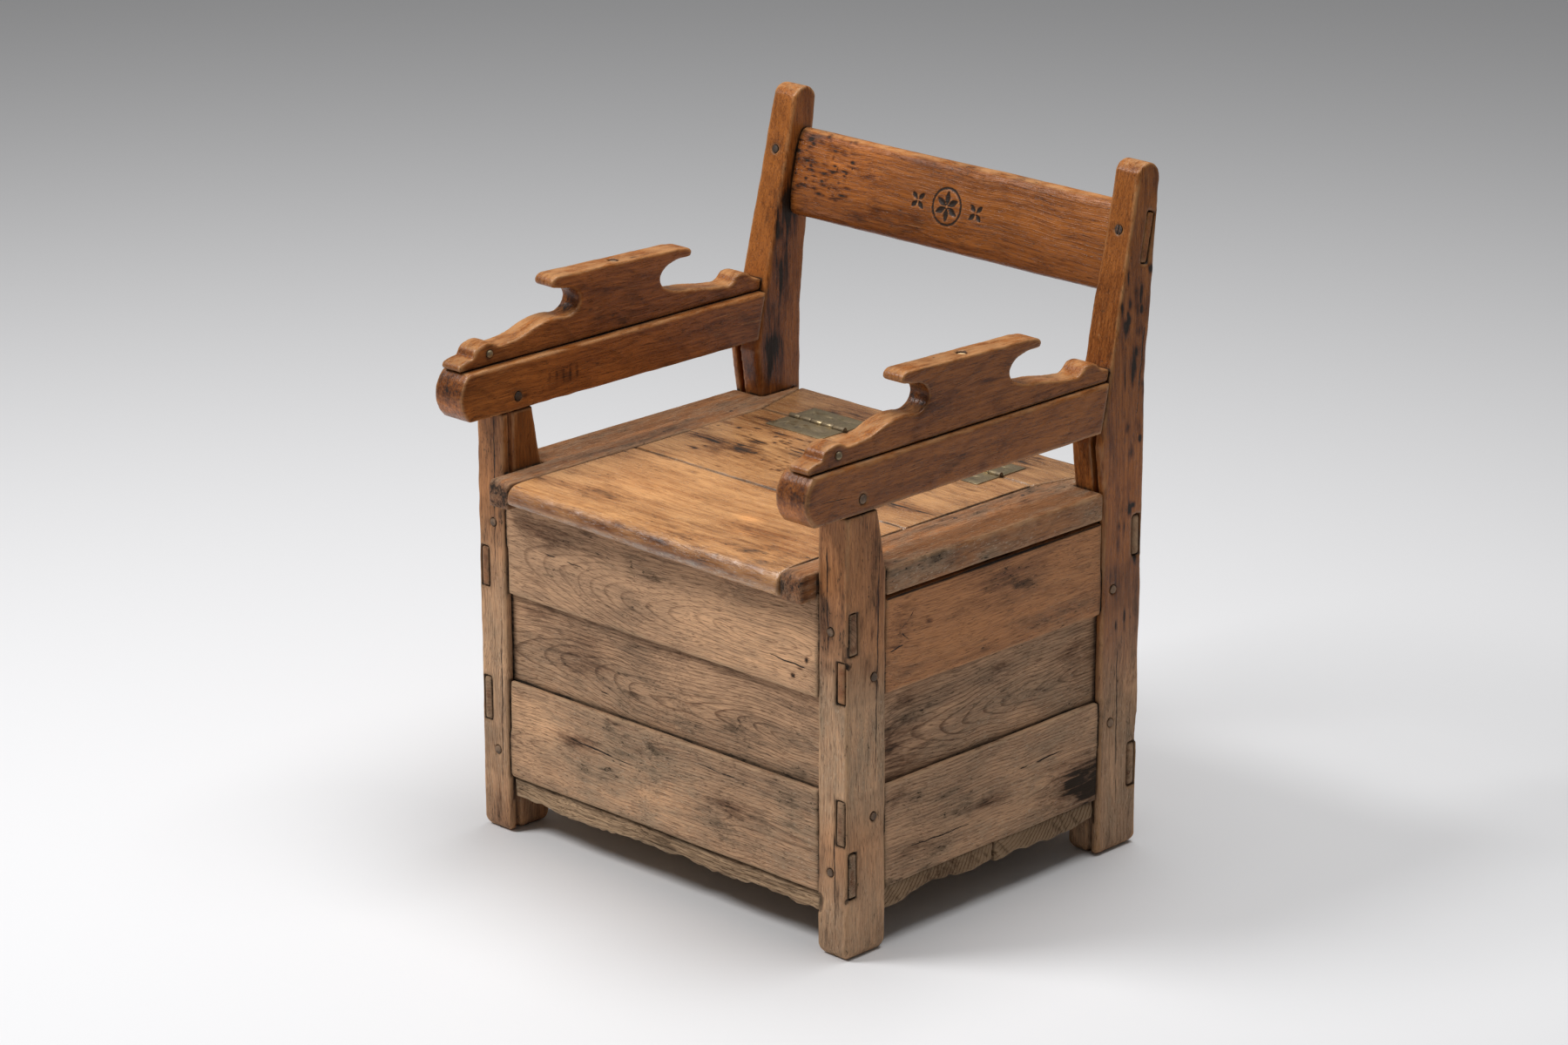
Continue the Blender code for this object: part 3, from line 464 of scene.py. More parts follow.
def mark_depth(points, middle):
    """Share of full depth of the crest's chip-carved rosette and its two flanking stars."""
    across = points[:, 0]
    height = (points - middle) @ np.array(CREST_UP)
    depth = np.zeros(len(points))
    for centre, petals, length, width in FLOWERS:
        for petal in range(petals):
            angle = math.tau * (petal + 0.5) / petals
            out = (across - centre) * math.cos(angle) + height * math.sin(angle) - PETAL_START
            side = height * math.cos(angle) - (across - centre) * math.sin(angle)
            depth = np.maximum(depth, lens_cut(out, side, length, width))
    ring = np.abs(np.hypot(across, height) - RING_RADIUS)
    depth = np.maximum(depth, 0.8 * np.clip(1 - ring / RING_WIDTH, 0, 1))
    return depth * ((points - middle) @ np.array(CREST_INTO) < 0)


def carved_mark(middle):
    """Cuts the chip-carved mark into the crest's face."""
    def shape(points):
        return points + np.array(CREST_INTO) * (CARVING_DEPTH * mark_depth(points, middle))[:, None]
    return shape


def rolled_front(reach, drop, bottom):
    """Rolls the front edge of a board down over a reach behind it."""
    def shape(points):
        front, top = points[:, 1].min(), points[:, 2].max()
        share = np.clip(1 - (points[:, 1] - front) / reach, 0, 1)
        fall = drop * (1 - np.sqrt(1 - np.minimum(share, 0.98) ** 2))
        result = points.copy()
        result[:, 2] -= fall * np.clip((points[:, 2] - bottom) / (top - bottom), 0, 1)
        return result
    return shape


def hanging_lip(left, right, start, drop):
    """Lets the underside of a board's front lip hang lower towards its right end."""
    def shape(points):
        low, high = points[:, 2].min(), points[:, 2].max()
        across = np.clip((points[:, 0] - left) / (right - left), 0, 1)
        ahead = smoothstep(start, start - 0.005, points[:, 1])
        result = points.copy()
        result[:, 2] -= drop * across * ahead * np.clip((high - points[:, 2]) / (high - low), 0, 1)
        return result
    return shape


def soft_ball(points, middle, radii):
    """1 at the middle of a soft patch, falling off over its radii."""
    return np.exp(-(((points - middle) / np.asarray(radii)) ** 2).sum(axis=1))


def hollowed(middle, radii, depth):
    """Wears a shallow dish into a top face."""
    def shape(points):
        result = points.copy()
        result[:, 2] -= soft_ball(points, middle, radii) * depth
        return result
    return shape


# Marks of wear

def random_smudges(points, grain, count, seed):
    """Small dark smudges drawn out along the grain, at chance places of a piece."""
    rng = np.random.default_rng(seed)
    along = "xyz".index(grain)
    smudges = []
    for place in points[rng.integers(0, len(points), count)]:
        radii = np.full(3, rng.uniform(0.003, 0.008))
        radii[along] *= rng.uniform(1.5, 5)
        smudges.append((place, radii, rng.uniform(0.2, 0.62)))
    return smudges


def specks(middle, reach, through, along, count, seed, size):
    """Small black flecks about a place, drawn out along the grain and reaching through the wood."""
    rng = np.random.default_rng(seed)
    flecks = []
    for _ in range(count):
        radii = size * rng.uniform(0.45, 1.5, 3) ** 1.5
        radii[along] *= rng.uniform(1.2, 4.5)
        radii[through] = 0.020
        flecks.append((np.array(middle) + rng.uniform(-1, 1, 3) * reach, radii, rng.uniform(0.7, 1.3)))
    return flecks


def patch_marks(points, soft_patches):
    """The strongest of some soft patches, each (middle, radii, strength), at each point."""
    mark = np.zeros(len(points))
    for middle, radii, strength in soft_patches:
        mark = np.maximum(mark, strength * soft_ball(points, middle, radii))
    return mark


def worn_piece(
        node, grain, detail, passes, shapers=(), stains=(), fades=(), dust=NO_DUST, wave=1.0, smudges=14,
        rubbed=0, grime=1.0):
    """A worn copy of one CAD node, with its marks of wear and its painted shade, highlights and reflections.

    A fade below zero deepens the colour. Dust lies below the first height and ends at the second.
    """
    wear = bpy.context.scene.armchair_wear
    mesh = modified(merged_copy(node), "REMESH", mode="VOXEL", voxel_size=detail, adaptivity=0)
    edges = read_rows(mesh.edges, "vertices", 2, np.int32)
    seed = wear.seed + sum(map(ord, node))
    points = smoothed(get_points(mesh), edges, passes)
    for shaper in shapers:
        points = shaper(points)
    points = smoothed(points, edges, 1)
    set_points(mesh, points)
    normals = read_rows(mesh.vertex_normals, "vector", 3).astype(np.float64)
    lift = layered_noise(
        points, 0, (wear.wave * wave, WAVE_CELL, seed), (wear.dents, DENT_CELL, seed),
        (0.4 * wear.dents, GRIT_CELL, seed + 3))
    points = points + normals * (lift - wear.wave * 0.5 * wave)[:, None]
    set_points(mesh, points)
    bulge = ((points - smoothed(points, edges, 4)) * normals).sum(axis=1) / detail
    # Up-facing faces lighten: partly worn polish, partly a painted highlight of light from above
    rubbed_and_lit_top = rubbed * smoothstep(0.55, 0.95, normals[:, 2])
    rubbed_and_lit_top = rubbed_and_lit_top * layered_noise(points, 0.75, (0.5, RUBBED_CELL, seed + 8))
    set_mark(mesh, "edge", np.clip(bulge * 4.0 + rubbed_and_lit_top, -1, 1))
    # Darkening near other pieces: joint dirt, and painted shade where parts meet
    set_mark(mesh, "grime", grime * joint_grime_and_shade(node, points, wear.grime_reach))
    drawn_out = np.full(3, STREAK_WIDTH)
    drawn_out["xyz".index(grain)] = STREAK_LENGTH
    patchy = layered_noise(points, 0.85, (0.45, drawn_out, seed + 5))
    stained = patch_marks(points, (*stains, *random_smudges(points, grain, smudges, seed)))
    set_mark(mesh, "stain", np.clip(stained * patchy, 0, 1))
    deepened = patch_marks(points, [(middle, radii, -strength) for middle, radii, strength in fades])
    set_mark(mesh, "fade", np.clip((patch_marks(points, fades) - deepened) * patchy, -1, 1))
    low, high, amount = dust
    dusty = amount * (1 - smoothstep(low, high, points[:, 2]))
    set_mark(mesh, "dust", np.clip(dusty * layered_noise(points, 0.75, (0.7, DUST_CELL, seed + 7)), 0, 1))
    mesh.polygons.foreach_set("use_smooth", np.ones(len(mesh.polygons), bool))
    mesh.update()
    return new_piece(f"{node}_worn", mesh, [node])


# Node helpers

class Value:
    """A number from a node, for sums with plain numbers and with other values."""

    def __init__(self, graph, socket):
        self.graph = graph
        self.socket = socket

    def __add__(self, other):
        return self.graph.math("ADD", self, other)

    def __sub__(self, other):
        return self.graph.math("SUBTRACT", self, other)

    def __rsub__(self, other):
        return self.graph.math("SUBTRACT", other, self)

    def __mul__(self, other):
        return self.graph.math("MULTIPLY", self, other)

    def __truediv__(self, other):
        return self.graph.math("DIVIDE", self, other)

    def clamped(self):
        """The value kept between 0 and 1."""
        return self.graph.math("ADD", self, 0.0, clamp=True)


class Graph:
    """Adds nodes to one tree, in columns, and wires them."""

    def __init__(self, tree):
        self.tree = tree
        tree.nodes.clear()

    def add(self, kind, inputs=None, **settings):
        """A node with its settings, and with values or other nodes' outputs on its inputs."""
        node = self.tree.nodes.new(kind)
        count = len(self.tree.nodes)
        node.location = (220 * (count // 5), -240 * (count % 5))
        for key, value in settings.items():
            setattr(node, key, value)
        for key, value in (inputs or {}).items():
            self.feed(node.inputs[key], value)
        return node

    def feed(self, socket, value):
        """Links an output to a socket, or sets the socket's own value."""
        if isinstance(value, Value):
            value = value.socket
        if isinstance(value, NodeSocket):
            self.tree.links.new(value, socket)
        else:
            socket.default_value = value

    def group(self, name, inputs):
        """Outputs of a node group."""
        return self.add("ShaderNodeGroup", inputs, node_tree=bpy.data.node_groups[name]).outputs

    def math(self, operation, *values, clamp=False):
        """Value of a Math node."""
        node = self.add("ShaderNodeMath", dict(enumerate(values)), operation=operation, use_clamp=clamp)
        return Value(self, node.outputs[0])

    def vector(self, operation, *values):
        """Vector or value of a Vector Math node."""
        node = self.add("ShaderNodeVectorMath", dict(enumerate(values)), operation=operation)
        return Value(self, node.outputs["Value" if operation in {"DOT_PRODUCT", "DISTANCE"} else "Vector"])

    def scaled(self, vector, scale):
        """A vector times a value."""
        node = self.add("ShaderNodeVectorMath", {0: vector, "Scale": scale}, operation="SCALE")
        return node.outputs["Vector"]

    def mix(self, factor, first, second, blend="MIX"):
        """Output of a colour mix."""
        node = self.add("ShaderNodeMix", data_type="RGBA", blend_type=blend, clamp_factor=True)
        for index, value in ((0, factor), (6, first), (7, second)):
            self.feed(node.inputs[index], value)
        return node.outputs[2]

    def tinted(self, factor, first, tint):
        """A colour multiplied by a tint as far as the factor says."""
        return self.mix(factor, first, self.mix(1.0, first, tint, "MULTIPLY"))

    def wander(self, vector, scale, detail):
        """A noise vector about zero."""
        node = self.add("ShaderNodeTexNoise", {"Vector": vector, "Scale": scale, "Detail": detail})
        return self.vector("SUBTRACT", node.outputs["Color"], (0.5, 0.5, 0.5))

    def noise(self, vector, scale, detail=3.0, roughness=0.55, draw=1.0):
        """Value of a noise texture, drawn out along X where the draw is below one."""
        if draw != 1.0:
            vector = self.vector("MULTIPLY", vector, (draw, 1.0, 1.0))
        node = self.add(
            "ShaderNodeTexNoise",
            {"Vector": vector, "Scale": scale, "Detail": detail, "Roughness": roughness})
        return Value(self, node.outputs["Fac"])

    def step(self, value, low, high):
        """A smooth step of a value from low to high."""
        node = self.add(
            "ShaderNodeMapRange", {"Value": value, "From Min": low, "From Max": high},
            interpolation_type="SMOOTHSTEP")
        return Value(self, node.outputs["Result"])

    def attribute(self, name):
        """One of the marks of wear that the mesh keeps."""
        node = self.add("ShaderNodeAttribute", attribute_name=name, attribute_type="GEOMETRY")
        return Value(self, node.outputs["Fac"])


def new_group(name, inputs, outputs, kind="ShaderNodeTree"):
    """An empty node group with its graph, its inputs as named values and its output sockets."""
    tree = bpy.data.node_groups.new(name, kind)
    for in_out, sockets in (("INPUT", inputs), ("OUTPUT", outputs)):
        for socket_kind, labels in sockets.items():
            for label in labels:
                tree.interface.new_socket(label, in_out=in_out, socket_type="NodeSocket" + socket_kind)
    graph = Graph(tree)
    given = SimpleNamespace(**{
        socket.name.lower().replace(" ", "_"): Value(graph, socket)
        for socket in graph.add("NodeGroupInput").outputs if socket.name})
    return graph, given, graph.add("NodeGroupOutput").inputs


def wood_grain_group():
    """Growth rings, streaks, pores and fibres of a board whose grain runs along X."""
    graph, given, result = new_group(
        "wood grain", {"Vector": ("Vector", "Ring Centre"), "Float": ("Ring Slope", "Ring Spacing")},
        {"Float": ("Rings", "Streaks", "Pores", "Fibres")})
    bend = graph.vector("MULTIPLY", graph.wander(given.vector, 6.0, 2.0), (0.0, 0.022, 0.022))
    bent = graph.vector("ADD", given.vector, bend)
    place = graph.add("ShaderNodeSeparateXYZ", {"Vector": graph.vector("SUBTRACT", bent, given.ring_centre)})
    along, across, up = (Value(graph, output) for output in place.outputs)
    shifted = along * given.ring_slope + across
    radius = graph.math("SQRT", shifted * shifted + up * up)
    streaks = graph.noise(bent, 290.0, 4.0, 0.62, draw=0.028)
    share = graph.math("FRACT", radius / given.ring_spacing + streaks * 0.22)
    rings = graph.step(share, 0.66, 0.93) - graph.step(share, 0.93, 1.0)
    graph.feed(result["Rings"], rings.clamped())
    graph.feed(result["Streaks"], streaks)
    graph.feed(result["Pores"], graph.step(graph.noise(bent, 1250.0, 1.5, draw=0.045), 0.56, 0.66))
    graph.feed(result["Fibres"], graph.noise(bent, 1300.0, 2.0, draw=0.03))


# Colours that age gives to wood: tints multiply what is below them
RING_TINT = (0.42, 0.36, 0.33, 1)
# Lightens faded patches, and paints the floor's reflection where a fade is set for it
FADE_AND_REFLECTION_TINT = (1.75, 1.70, 1.60, 1)
DEEPENED_TINT = (0.36, 0.26, 0.21, 1)
PORE_TINT = (0.25, 0.20, 0.17, 1)
STAIN_TINT = (0.34, 0.27, 0.24, 1)
FLECK_COLOUR = (0.62, 0.50, 0.37, 1)
CRACK_COLOUR = (0.012, 0.008, 0.006, 1)


def age_group():
    """Colour, roughness and height of old wood, from its grain, its marks of wear and its painted shade and
    highlights.
    """
    graph, given, result = new_group(
        "aged wood", {
            "Vector": ("Place",),
            "Color": ("Light", "Dark", "Worn", "Grime", "Dust"),
            "Float": (
                "Rings", "Streaks", "Pores", "Fibres", "Cracks", "Streak Strength", "Ring Strength",
                "Pore Strength", "Blotch Strength", "Grime Strength", "Wear Strength", "Base Roughness"),
        }, {"Color": ("Color",), "Float": ("Roughness", "Height")})
    edge, grime, stain, dust, fade = map(graph.attribute, ("edge", "grime", "stain", "dust", "fade"))
    step = graph.step
    blotch = graph.noise(given.place, 7.0, 5.0, 0.60)
    cloud = graph.noise(given.place, 28.0, 6.0, 0.62)
    mottle = graph.noise(given.place, 95.0, 6.0, 0.65)
    speck = graph.noise(given.place, 330.0, 3.0, 0.6)

    # Grain
    tone = (step(given.streaks, 0.36, 0.66) - 0.5) * given.streak_strength + 0.37
    tone += ((blotch - 0.5) * 2.2 + (cloud - 0.5) * 1.7) * given.blotch_strength
    tone += (given.fibres - 0.5) * given.streak_strength * 2.0
    shown = graph.mix(tone, given.light, given.dark)
    figured = step(blotch, 0.40, 0.60) * 0.55 + 0.45
    shown = graph.tinted(given.rings * given.ring_strength * figured, shown, RING_TINT)

    # Fading, dust and wear, with painted reflections and highlights among them
    shown = graph.tinted(fade, shown, FADE_AND_REFLECTION_TINT)
    shown = graph.tinted(fade * -1.0, shown, DEEPENED_TINT)
    # Dust, which on the lid's nosing also paints the floor's reflection
    dust_and_reflection = dust * step(mottle + cloud, 0.80, 1.30)
    shown = graph.mix(dust_and_reflection * 0.80, shown, given.dust)
    shown = graph.tinted(given.pores * given.pore_strength, shown, PORE_TINT)
    flecks = step(graph.noise(given.place, 540.0, 2.0), 0.60, 0.70) * dust
    shown = graph.mix(flecks * 0.45, shown, FLECK_COLOUR)
    scratches = step(graph.noise(given.place, 620.0, 2.0, draw=0.10), 0.63, 0.72) * step(cloud, 0.42, 0.60)
    shown = graph.mix(scratches * 0.40, shown, given.worn)
    # Rubbed edges lighten, and up-facing faces with them, partly as a painted highlight
    rubbed = step(edge, 0.12, 0.75) * step(mottle, 0.30, 0.62)
    shown = graph.mix(rubbed * given.wear_strength, shown, given.worn)

    # Darkening near other pieces, partly joint dirt and partly painted shade; darker hollows; blotches and scorched
    # stains
    # Soft darkening near other pieces is painted shade as well as dirt; the narrow seam below is the dark joint
    dirt = grime * grime * (mottle * 1.1 + 0.15) * given.grime_strength
    dirt += step(grime, 0.80, 0.97) * (mottle * 1.2 - 0.12)
    smears = step(cloud, 0.53, 0.72) * step(mottle, 0.42, 0.64)
    dots = step(speck, 0.60, 0.70) * step(cloud, 0.44, 0.62)
    dirt += (smears + dots) * given.blotch_strength
    dirt += step(edge * -1.0, 0.1, 0.8) * 0.45
    ragged = stain + (mottle - 0.5) * 1.1 + (given.streaks - 0.5) * 0.9 + (speck - 0.5) * 0.7
    dirt += step(ragged, 0.62, 1.05) * 0.55 * step(stain, 0.0, 0.3)
    charred = stain + (mottle - 0.5) * 0.5 + (given.streaks - 0.5) * 1.3
    dirt = (dirt + step(charred, 0.60, 1.0) * 0.85).clamped()
    soft = step(ragged, -0.05, 0.95) * step(stain, 0.0, 0.5)
    shown = graph.tinted(soft, shown, STAIN_TINT)
    shown = graph.mix(dirt, shown, given.grime)
    shown = graph.mix(given.cracks, shown, CRACK_COLOUR)

    rough = given.base_roughness + dirt * 0.22 + (mottle - 0.5) * 0.35 + dust_and_reflection * 0.15
    height = given.fibres * 0.35 + given.rings * 0.25 + mottle * 0.45
    height = height - given.pores * 0.55 - given.cracks * 2.5
    graph.feed(result["Color"], shown)
    graph.feed(result["Roughness"], rough.clamped())
    graph.feed(result["Height"], height)


def crack_group():
    """A mask along one ragged crack between two points."""
    graph, given, result = new_group(
        "drying crack", {"Vector": ("Place", "Start", "End"), "Float": ("Width", "Wander")}, {"Float": ("Mask",)})
    shift = graph.scaled(graph.wander(given.place, 38.0, 4.0), given.wander)
    place = graph.vector("SUBTRACT", graph.vector("ADD", given.place, shift), given.start)
    line = graph.vector("SUBTRACT", given.end, given.start)
    along = (graph.vector("DOT_PRODUCT", place, line) / graph.vector("DOT_PRODUCT", line, line)).clamped()
    gap = graph.vector("DISTANCE", place, graph.scaled(line, along))
    width = given.width * (along * (1.0 - along) * 3.0 + 0.25)
    graph.feed(result["Mask"], 1.0 - graph.step(gap / width, 0.35, 1.0))


# Materials

# Dirt colours, which also paint the shade near other pieces; the grey dust also paints the floor's reflection on
# the lid's nosing
GRIME_AND_SHADE, SOOT_AND_SHADE = (0.034, 0.023, 0.015), (0.020, 0.011, 0.006)
BROWN_DUST, GREY_DUST_AND_REFLECTION = (0.40, 0.285, 0.185), (0.37, 0.325, 0.29)
# In each look, grime is the colour and dirt the strength of the darkening near other pieces, partly dirt and partly
# painted shade
Look = namedtuple("Look", "tone worn grime dust streaks rings pores blotches dirt wear roughness shine bump")
LOOKS = {
    "waxed": Look("waxed", (0.50, 0.26, 0.11), SOOT_AND_SHADE, BROWN_DUST,
                  0.46, 0.38, 0.62, 0.60, 0.60, 0.65, 0.29, 0.26, 0.40),
    "seat": Look("seat", (0.58, 0.33, 0.16), SOOT_AND_SHADE, GREY_DUST_AND_REFLECTION,
                 0.40, 0.18, 0.50, 0.80, 0.80, 0.35, 0.24, 0.58, 0.40),
    "oiled": Look("oiled", (0.52, 0.30, 0.15), GRIME_AND_SHADE, BROWN_DUST,
                  0.42, 0.48, 0.62, 0.80, 0.70, 0.50, 0.52, 0.25, 0.50),
    "dusty": Look("dusty", (0.52, 0.34, 0.20), GRIME_AND_SHADE, BROWN_DUST,
                  0.40, 1.00, 0.66, 0.78, 0.70, 0.60, 0.70, 0.22, 0.60),
    "raw": Look("raw", (0.46, 0.33, 0.21), GRIME_AND_SHADE, BROWN_DUST,
                0.60, 1.00, 0.60, 0.70, 0.60, 0.60, 0.88, 0.15, 1.00),
    "sawn": Look("raw", (0.46, 0.33, 0.21), GRIME_AND_SHADE, BROWN_DUST,
                 0.12, 1.70, 0.12, 0.35, 0.60, 0.40, 0.90, 0.12, 0.80),
}
GRAIN_TURNS = {"x": (0, 0, 0), "y": (0, 0, math.radians(-90)), "z": (0, math.radians(90), 0)}


def opaque(tone, shade=1.0):
    """A colour with its alpha, lightened or darkened by a shade."""
    return (*(Vector(tone) * shade), 1)


def wood_tones(look, shade=1.0):
    """Light and dark colours of a finish."""
    colours = bpy.context.scene.armchair_colours
    return [opaque(getattr(colours, f"{look.tone}_{end}"), shade) for end in ("light", "dark")]


def new_material(name):
    """A material with an empty graph and the place of each point in the chair's frame."""
    material = bpy.data.materials.new(name)
    material.use_nodes = True
    graph = Graph(material.node_tree)
    return material, graph, graph.add("ShaderNodeTexCoord").outputs["Object"]


def add_surface(graph, height, strength, distance, inputs):
    """Ends a material with a shader over a bumped surface."""
    relief = graph.add("ShaderNodeBump", {"Strength": strength, "Distance": distance, "Height": height})
    shader = graph.add("ShaderNodeBsdfPrincipled", {**inputs, "Normal": relief.outputs["Normal"]})
    graph.add("ShaderNodeOutputMaterial", {"Surface": shader.outputs["BSDF"]})


def coat(piece, kind, grain, ring, slope, spacing, cracks=(), shade=1.0, lower=None, part=""):
    """Adds old wood to a piece, with its grain along one axis and growth rings about a centre.

    Cracks are (start, end, width, wander) in the chair's frame. Where dust lies the wood takes the
    finish that lower names, if it names one. The part is what the material's name says it covers.
    """
    look = LOOKS[kind]
    material, graph, place = new_material(piece.name.removesuffix("_worn").replace("_", " ") + part)
    turned = graph.add("ShaderNodeMapping", {"Vector": place, "Rotation": GRAIN_TURNS[grain]}).outputs["Vector"]
    figure = graph.group("wood grain", {
        "Vector": turned, "Ring Centre": ring, "Ring Slope": slope, "Ring Spacing": spacing})
    light, dark = wood_tones(look, shade)
    roughness = look.roughness
    if lower:
        below = LOOKS[lower]
        share = graph.step(graph.attribute("dust"), 0.05, 0.75)
        light, dark = (graph.mix(share, *tones) for tones in zip((light, dark), wood_tones(below)))
        roughness = share * (below.roughness - look.roughness) + look.roughness
    mask = 0.0
    for start, end, width, wander in cracks:
        found = graph.group("drying crack", {
            "Place": place, "Start": start, "End": end, "Width": width, "Wander": wander})["Mask"]
        mask = graph.math("MAXIMUM", mask, found)
    aged = graph.group("aged wood", {
        "Place": graph.vector("MULTIPLY", turned, (0.32, 1.0, 1.0)), "Light": light, "Dark": dark,
        "Worn": opaque(look.worn), "Grime": opaque(look.grime), "Dust": opaque(look.dust), "Cracks": mask,
        "Streak Strength": look.streaks, "Ring Strength": look.rings, "Pore Strength": look.pores,
        "Blotch Strength": look.blotches, "Grime Strength": look.dirt, "Wear Strength": look.wear,
        "Base Roughness": roughness, **{output.name: output for output in figure}})
    add_surface(graph, aged["Height"], look.bump, 0.0012, {
        "Base Color": aged["Color"], "Roughness": aged["Roughness"], "Specular IOR Level": look.shine})
    piece.data.materials.append(material)


def coat_faces(piece, chosen):
    """Gives the piece's second material to the chosen faces."""
    for face in piece.data.polygons:
        if chosen(face):
            face.material_index = 1


def end_grain_material(name, light, dark):
    """Matt end grain of pegs and dowels."""
    material, graph, place = new_material(name)
    fine = graph.noise(place, 900.0, 4.0, 0.7)
    share = graph.step(graph.noise(place, 55.0), 0.35, 0.65) + (fine - 0.5) * 1.6
    add_surface(graph, fine, 0.5, 0.0008, {
        "Base Color": graph.mix(share, opaque(light), opaque(dark)), "Roughness": fine * 0.3 + 0.55})
    return material


def brass_material(name):
    """Brass under a patchy brown green tarnish."""
    colours = bpy.context.scene.armchair_colours
    material, graph, place = new_material(name)
    patch = graph.noise(place, 70.0, 6.0, 0.65)
    fine = graph.noise(place, 700.0, 4.0, 0.6)
    scratch = graph.noise(place, 1500.0, 2.0, draw=0.12)
    tarnish = graph.step(fine * 0.35 + patch, 0.50, 0.78)
    shown = graph.mix(tarnish, opaque(colours.brass_bright), opaque(colours.brass_dull))
    shown = graph.mix(graph.step(patch, 0.60, 0.75), shown, (0.045, 0.038, 0.026, 1))
    add_surface(graph, scratch * 0.5 + fine, 0.35, 0.0005, {
        "Base Color": shown, "Metallic": tarnish * -0.35 + 0.95, "Roughness": tarnish * 0.25 + 0.36})
    return material


def iron_material(name):
    """Dark rusted iron of nails and old screws."""
    material, graph, place = new_material(name)
    rust = graph.noise(place, 350.0, 5.0, 0.7)
    shown = graph.mix(graph.step(rust, 0.42, 0.62), (0.055, 0.045, 0.040, 1), (0.16, 0.085, 0.05, 1))
    add_surface(graph, rust, 0.5, 0.0005, {
        "Base Color": shown, "Metallic": rust * -0.6 + 0.9, "Roughness": rust * 0.4 + 0.35})
    return material


# Geometry Nodes for what repeats

def fastener_group():
    """Sets one turned and scaled copy of a template on each point of a mesh."""
    graph, given, result = new_group(
        "set fasteners", {
            "Geometry": ("Points",), "Object": ("Template",), "Material": ("Material",),
            "Float": ("Size", "Size Spread"), "Int": ("Seed",),
        }, {"Geometry": ("Fasteners",)}, "GeometryNodeTree")
    template = graph.add("GeometryNodeObjectInfo", {"Object": given.template})
    turn = graph.add("GeometryNodeInputNamedAttribute", {"Name": "turn"}, data_type="FLOAT_VECTOR")
    spin, scale = (
        graph.add("FunctionNodeRandomValue", {"Seed": given.seed, 2: low, 3: high}, data_type="FLOAT").outputs[1]
        for low, high in ((0.0, math.tau), (given.size - given.size_spread, given.size + given.size_spread)))
    setting = graph.add("GeometryNodeInstanceOnPoints", {
        "Points": given.points, "Instance": template.outputs["Geometry"],
        "Rotation": turn.outputs["Attribute"], "Scale": scale})
    spun = graph.add("GeometryNodeRotateInstances", {
        "Instances": setting.outputs["Instances"],
        "Rotation": graph.add("ShaderNodeCombineXYZ", {"Z": spin}).outputs[0]})
    real = graph.add("GeometryNodeRealizeInstances", {"Geometry": spun.outputs["Instances"]})
    painted = graph.add(
        "GeometryNodeSetMaterial", {"Geometry": real.outputs["Geometry"], "Material": given.material})
    graph.feed(result["Fasteners"], painted.outputs["Geometry"])


def set_fasteners(name, template, places, material, size=1.0, spread=0.0):
    """A mesh of templates, each on one (point, outward direction) of the places."""
    mesh = bpy.data.meshes.new(name + "_points")
    mesh.from_pydata([point for point, _ in places], [], [])
    turns = mesh.attributes.new("turn", "FLOAT_VECTOR", "POINT")
    for item, (_, outward) in zip(turns.data, places):
        item.vector = Vector(outward).to_track_quat("Z", "Y").to_euler()
    model = new_object(name + "_template", template)
    values = {
        "Template": model, "Material": material, "Size": size, "Size Spread": spread,
        "Seed": bpy.context.scene.armchair_wear.seed}

    def add_modifier(holder):
        setter = holder.modifiers.new("set fasteners", "NODES")
        setter.node_group = bpy.data.node_groups["set fasteners"]
        for socket in setter.node_group.interface.items_tree:
            if socket.in_out == "INPUT" and socket.name in values:
                setter[socket.identifier] = values[socket.name]
    result = evaluated_mesh(mesh, add_modifier)
    bpy.data.objects.remove(model)
    result.name = name
    return result


def fastener_piece(name, nodes, *setting):
    """A piece of fasteners that stands for CAD nodes."""
    new_piece(name, set_fasteners(name, *setting), nodes)


def loose_fasteners(name, body, *setting):
    """A piece of fasteners that only the scene has, riding on a body."""
    piece = new_object(name, set_fasteners(name, *setting))
    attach(piece, body)
    return piece


def node_end(node, outward, inset=END_INSET):
    """A point just inside the end of a node that faces outward, and the way out."""
    low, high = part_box(node)
    reach = sum(abs(axis) * size / 2 for axis, size in zip(outward, high - low))
    return (low + high) / 2 + outward * (reach - inset), outward


def turned_mesh(name, profile, steps, wobble=0.0):
    """A lathe-turned template on +Z from (radius, height) points, whittled out of round by the wobble."""
    rng = np.random.default_rng(bpy.context.scene.armchair_wear.seed)
    faults = 1 + wobble * rng.uniform(-1, 1, steps)
    angles = [math.tau * step / steps for step in range(steps)]
    shape = bmesh.new()
    rings = []
    for radius, height in profile:
        if radius == 0:
            rings.append([shape.verts.new((0, 0, height))])
            continue
        rings.append([
            shape.verts.new((radius * fault * math.cos(angle), radius * fault * math.sin(angle), height))
            for angle, fault in zip(angles, faults)])
    for lower, upper in zip(rings, rings[1:]):
        for step in range(steps):
            ahead = (step + 1) % steps
            corners = [lower[step % len(lower)], lower[ahead % len(lower)],
                       upper[ahead % len(upper)], upper[step % len(upper)]]
            shape.faces.new(list(dict.fromkeys(corners)))
    bmesh.ops.recalc_face_normals(shape, faces=shape.faces)
    return softened(finished_mesh(name, shape))


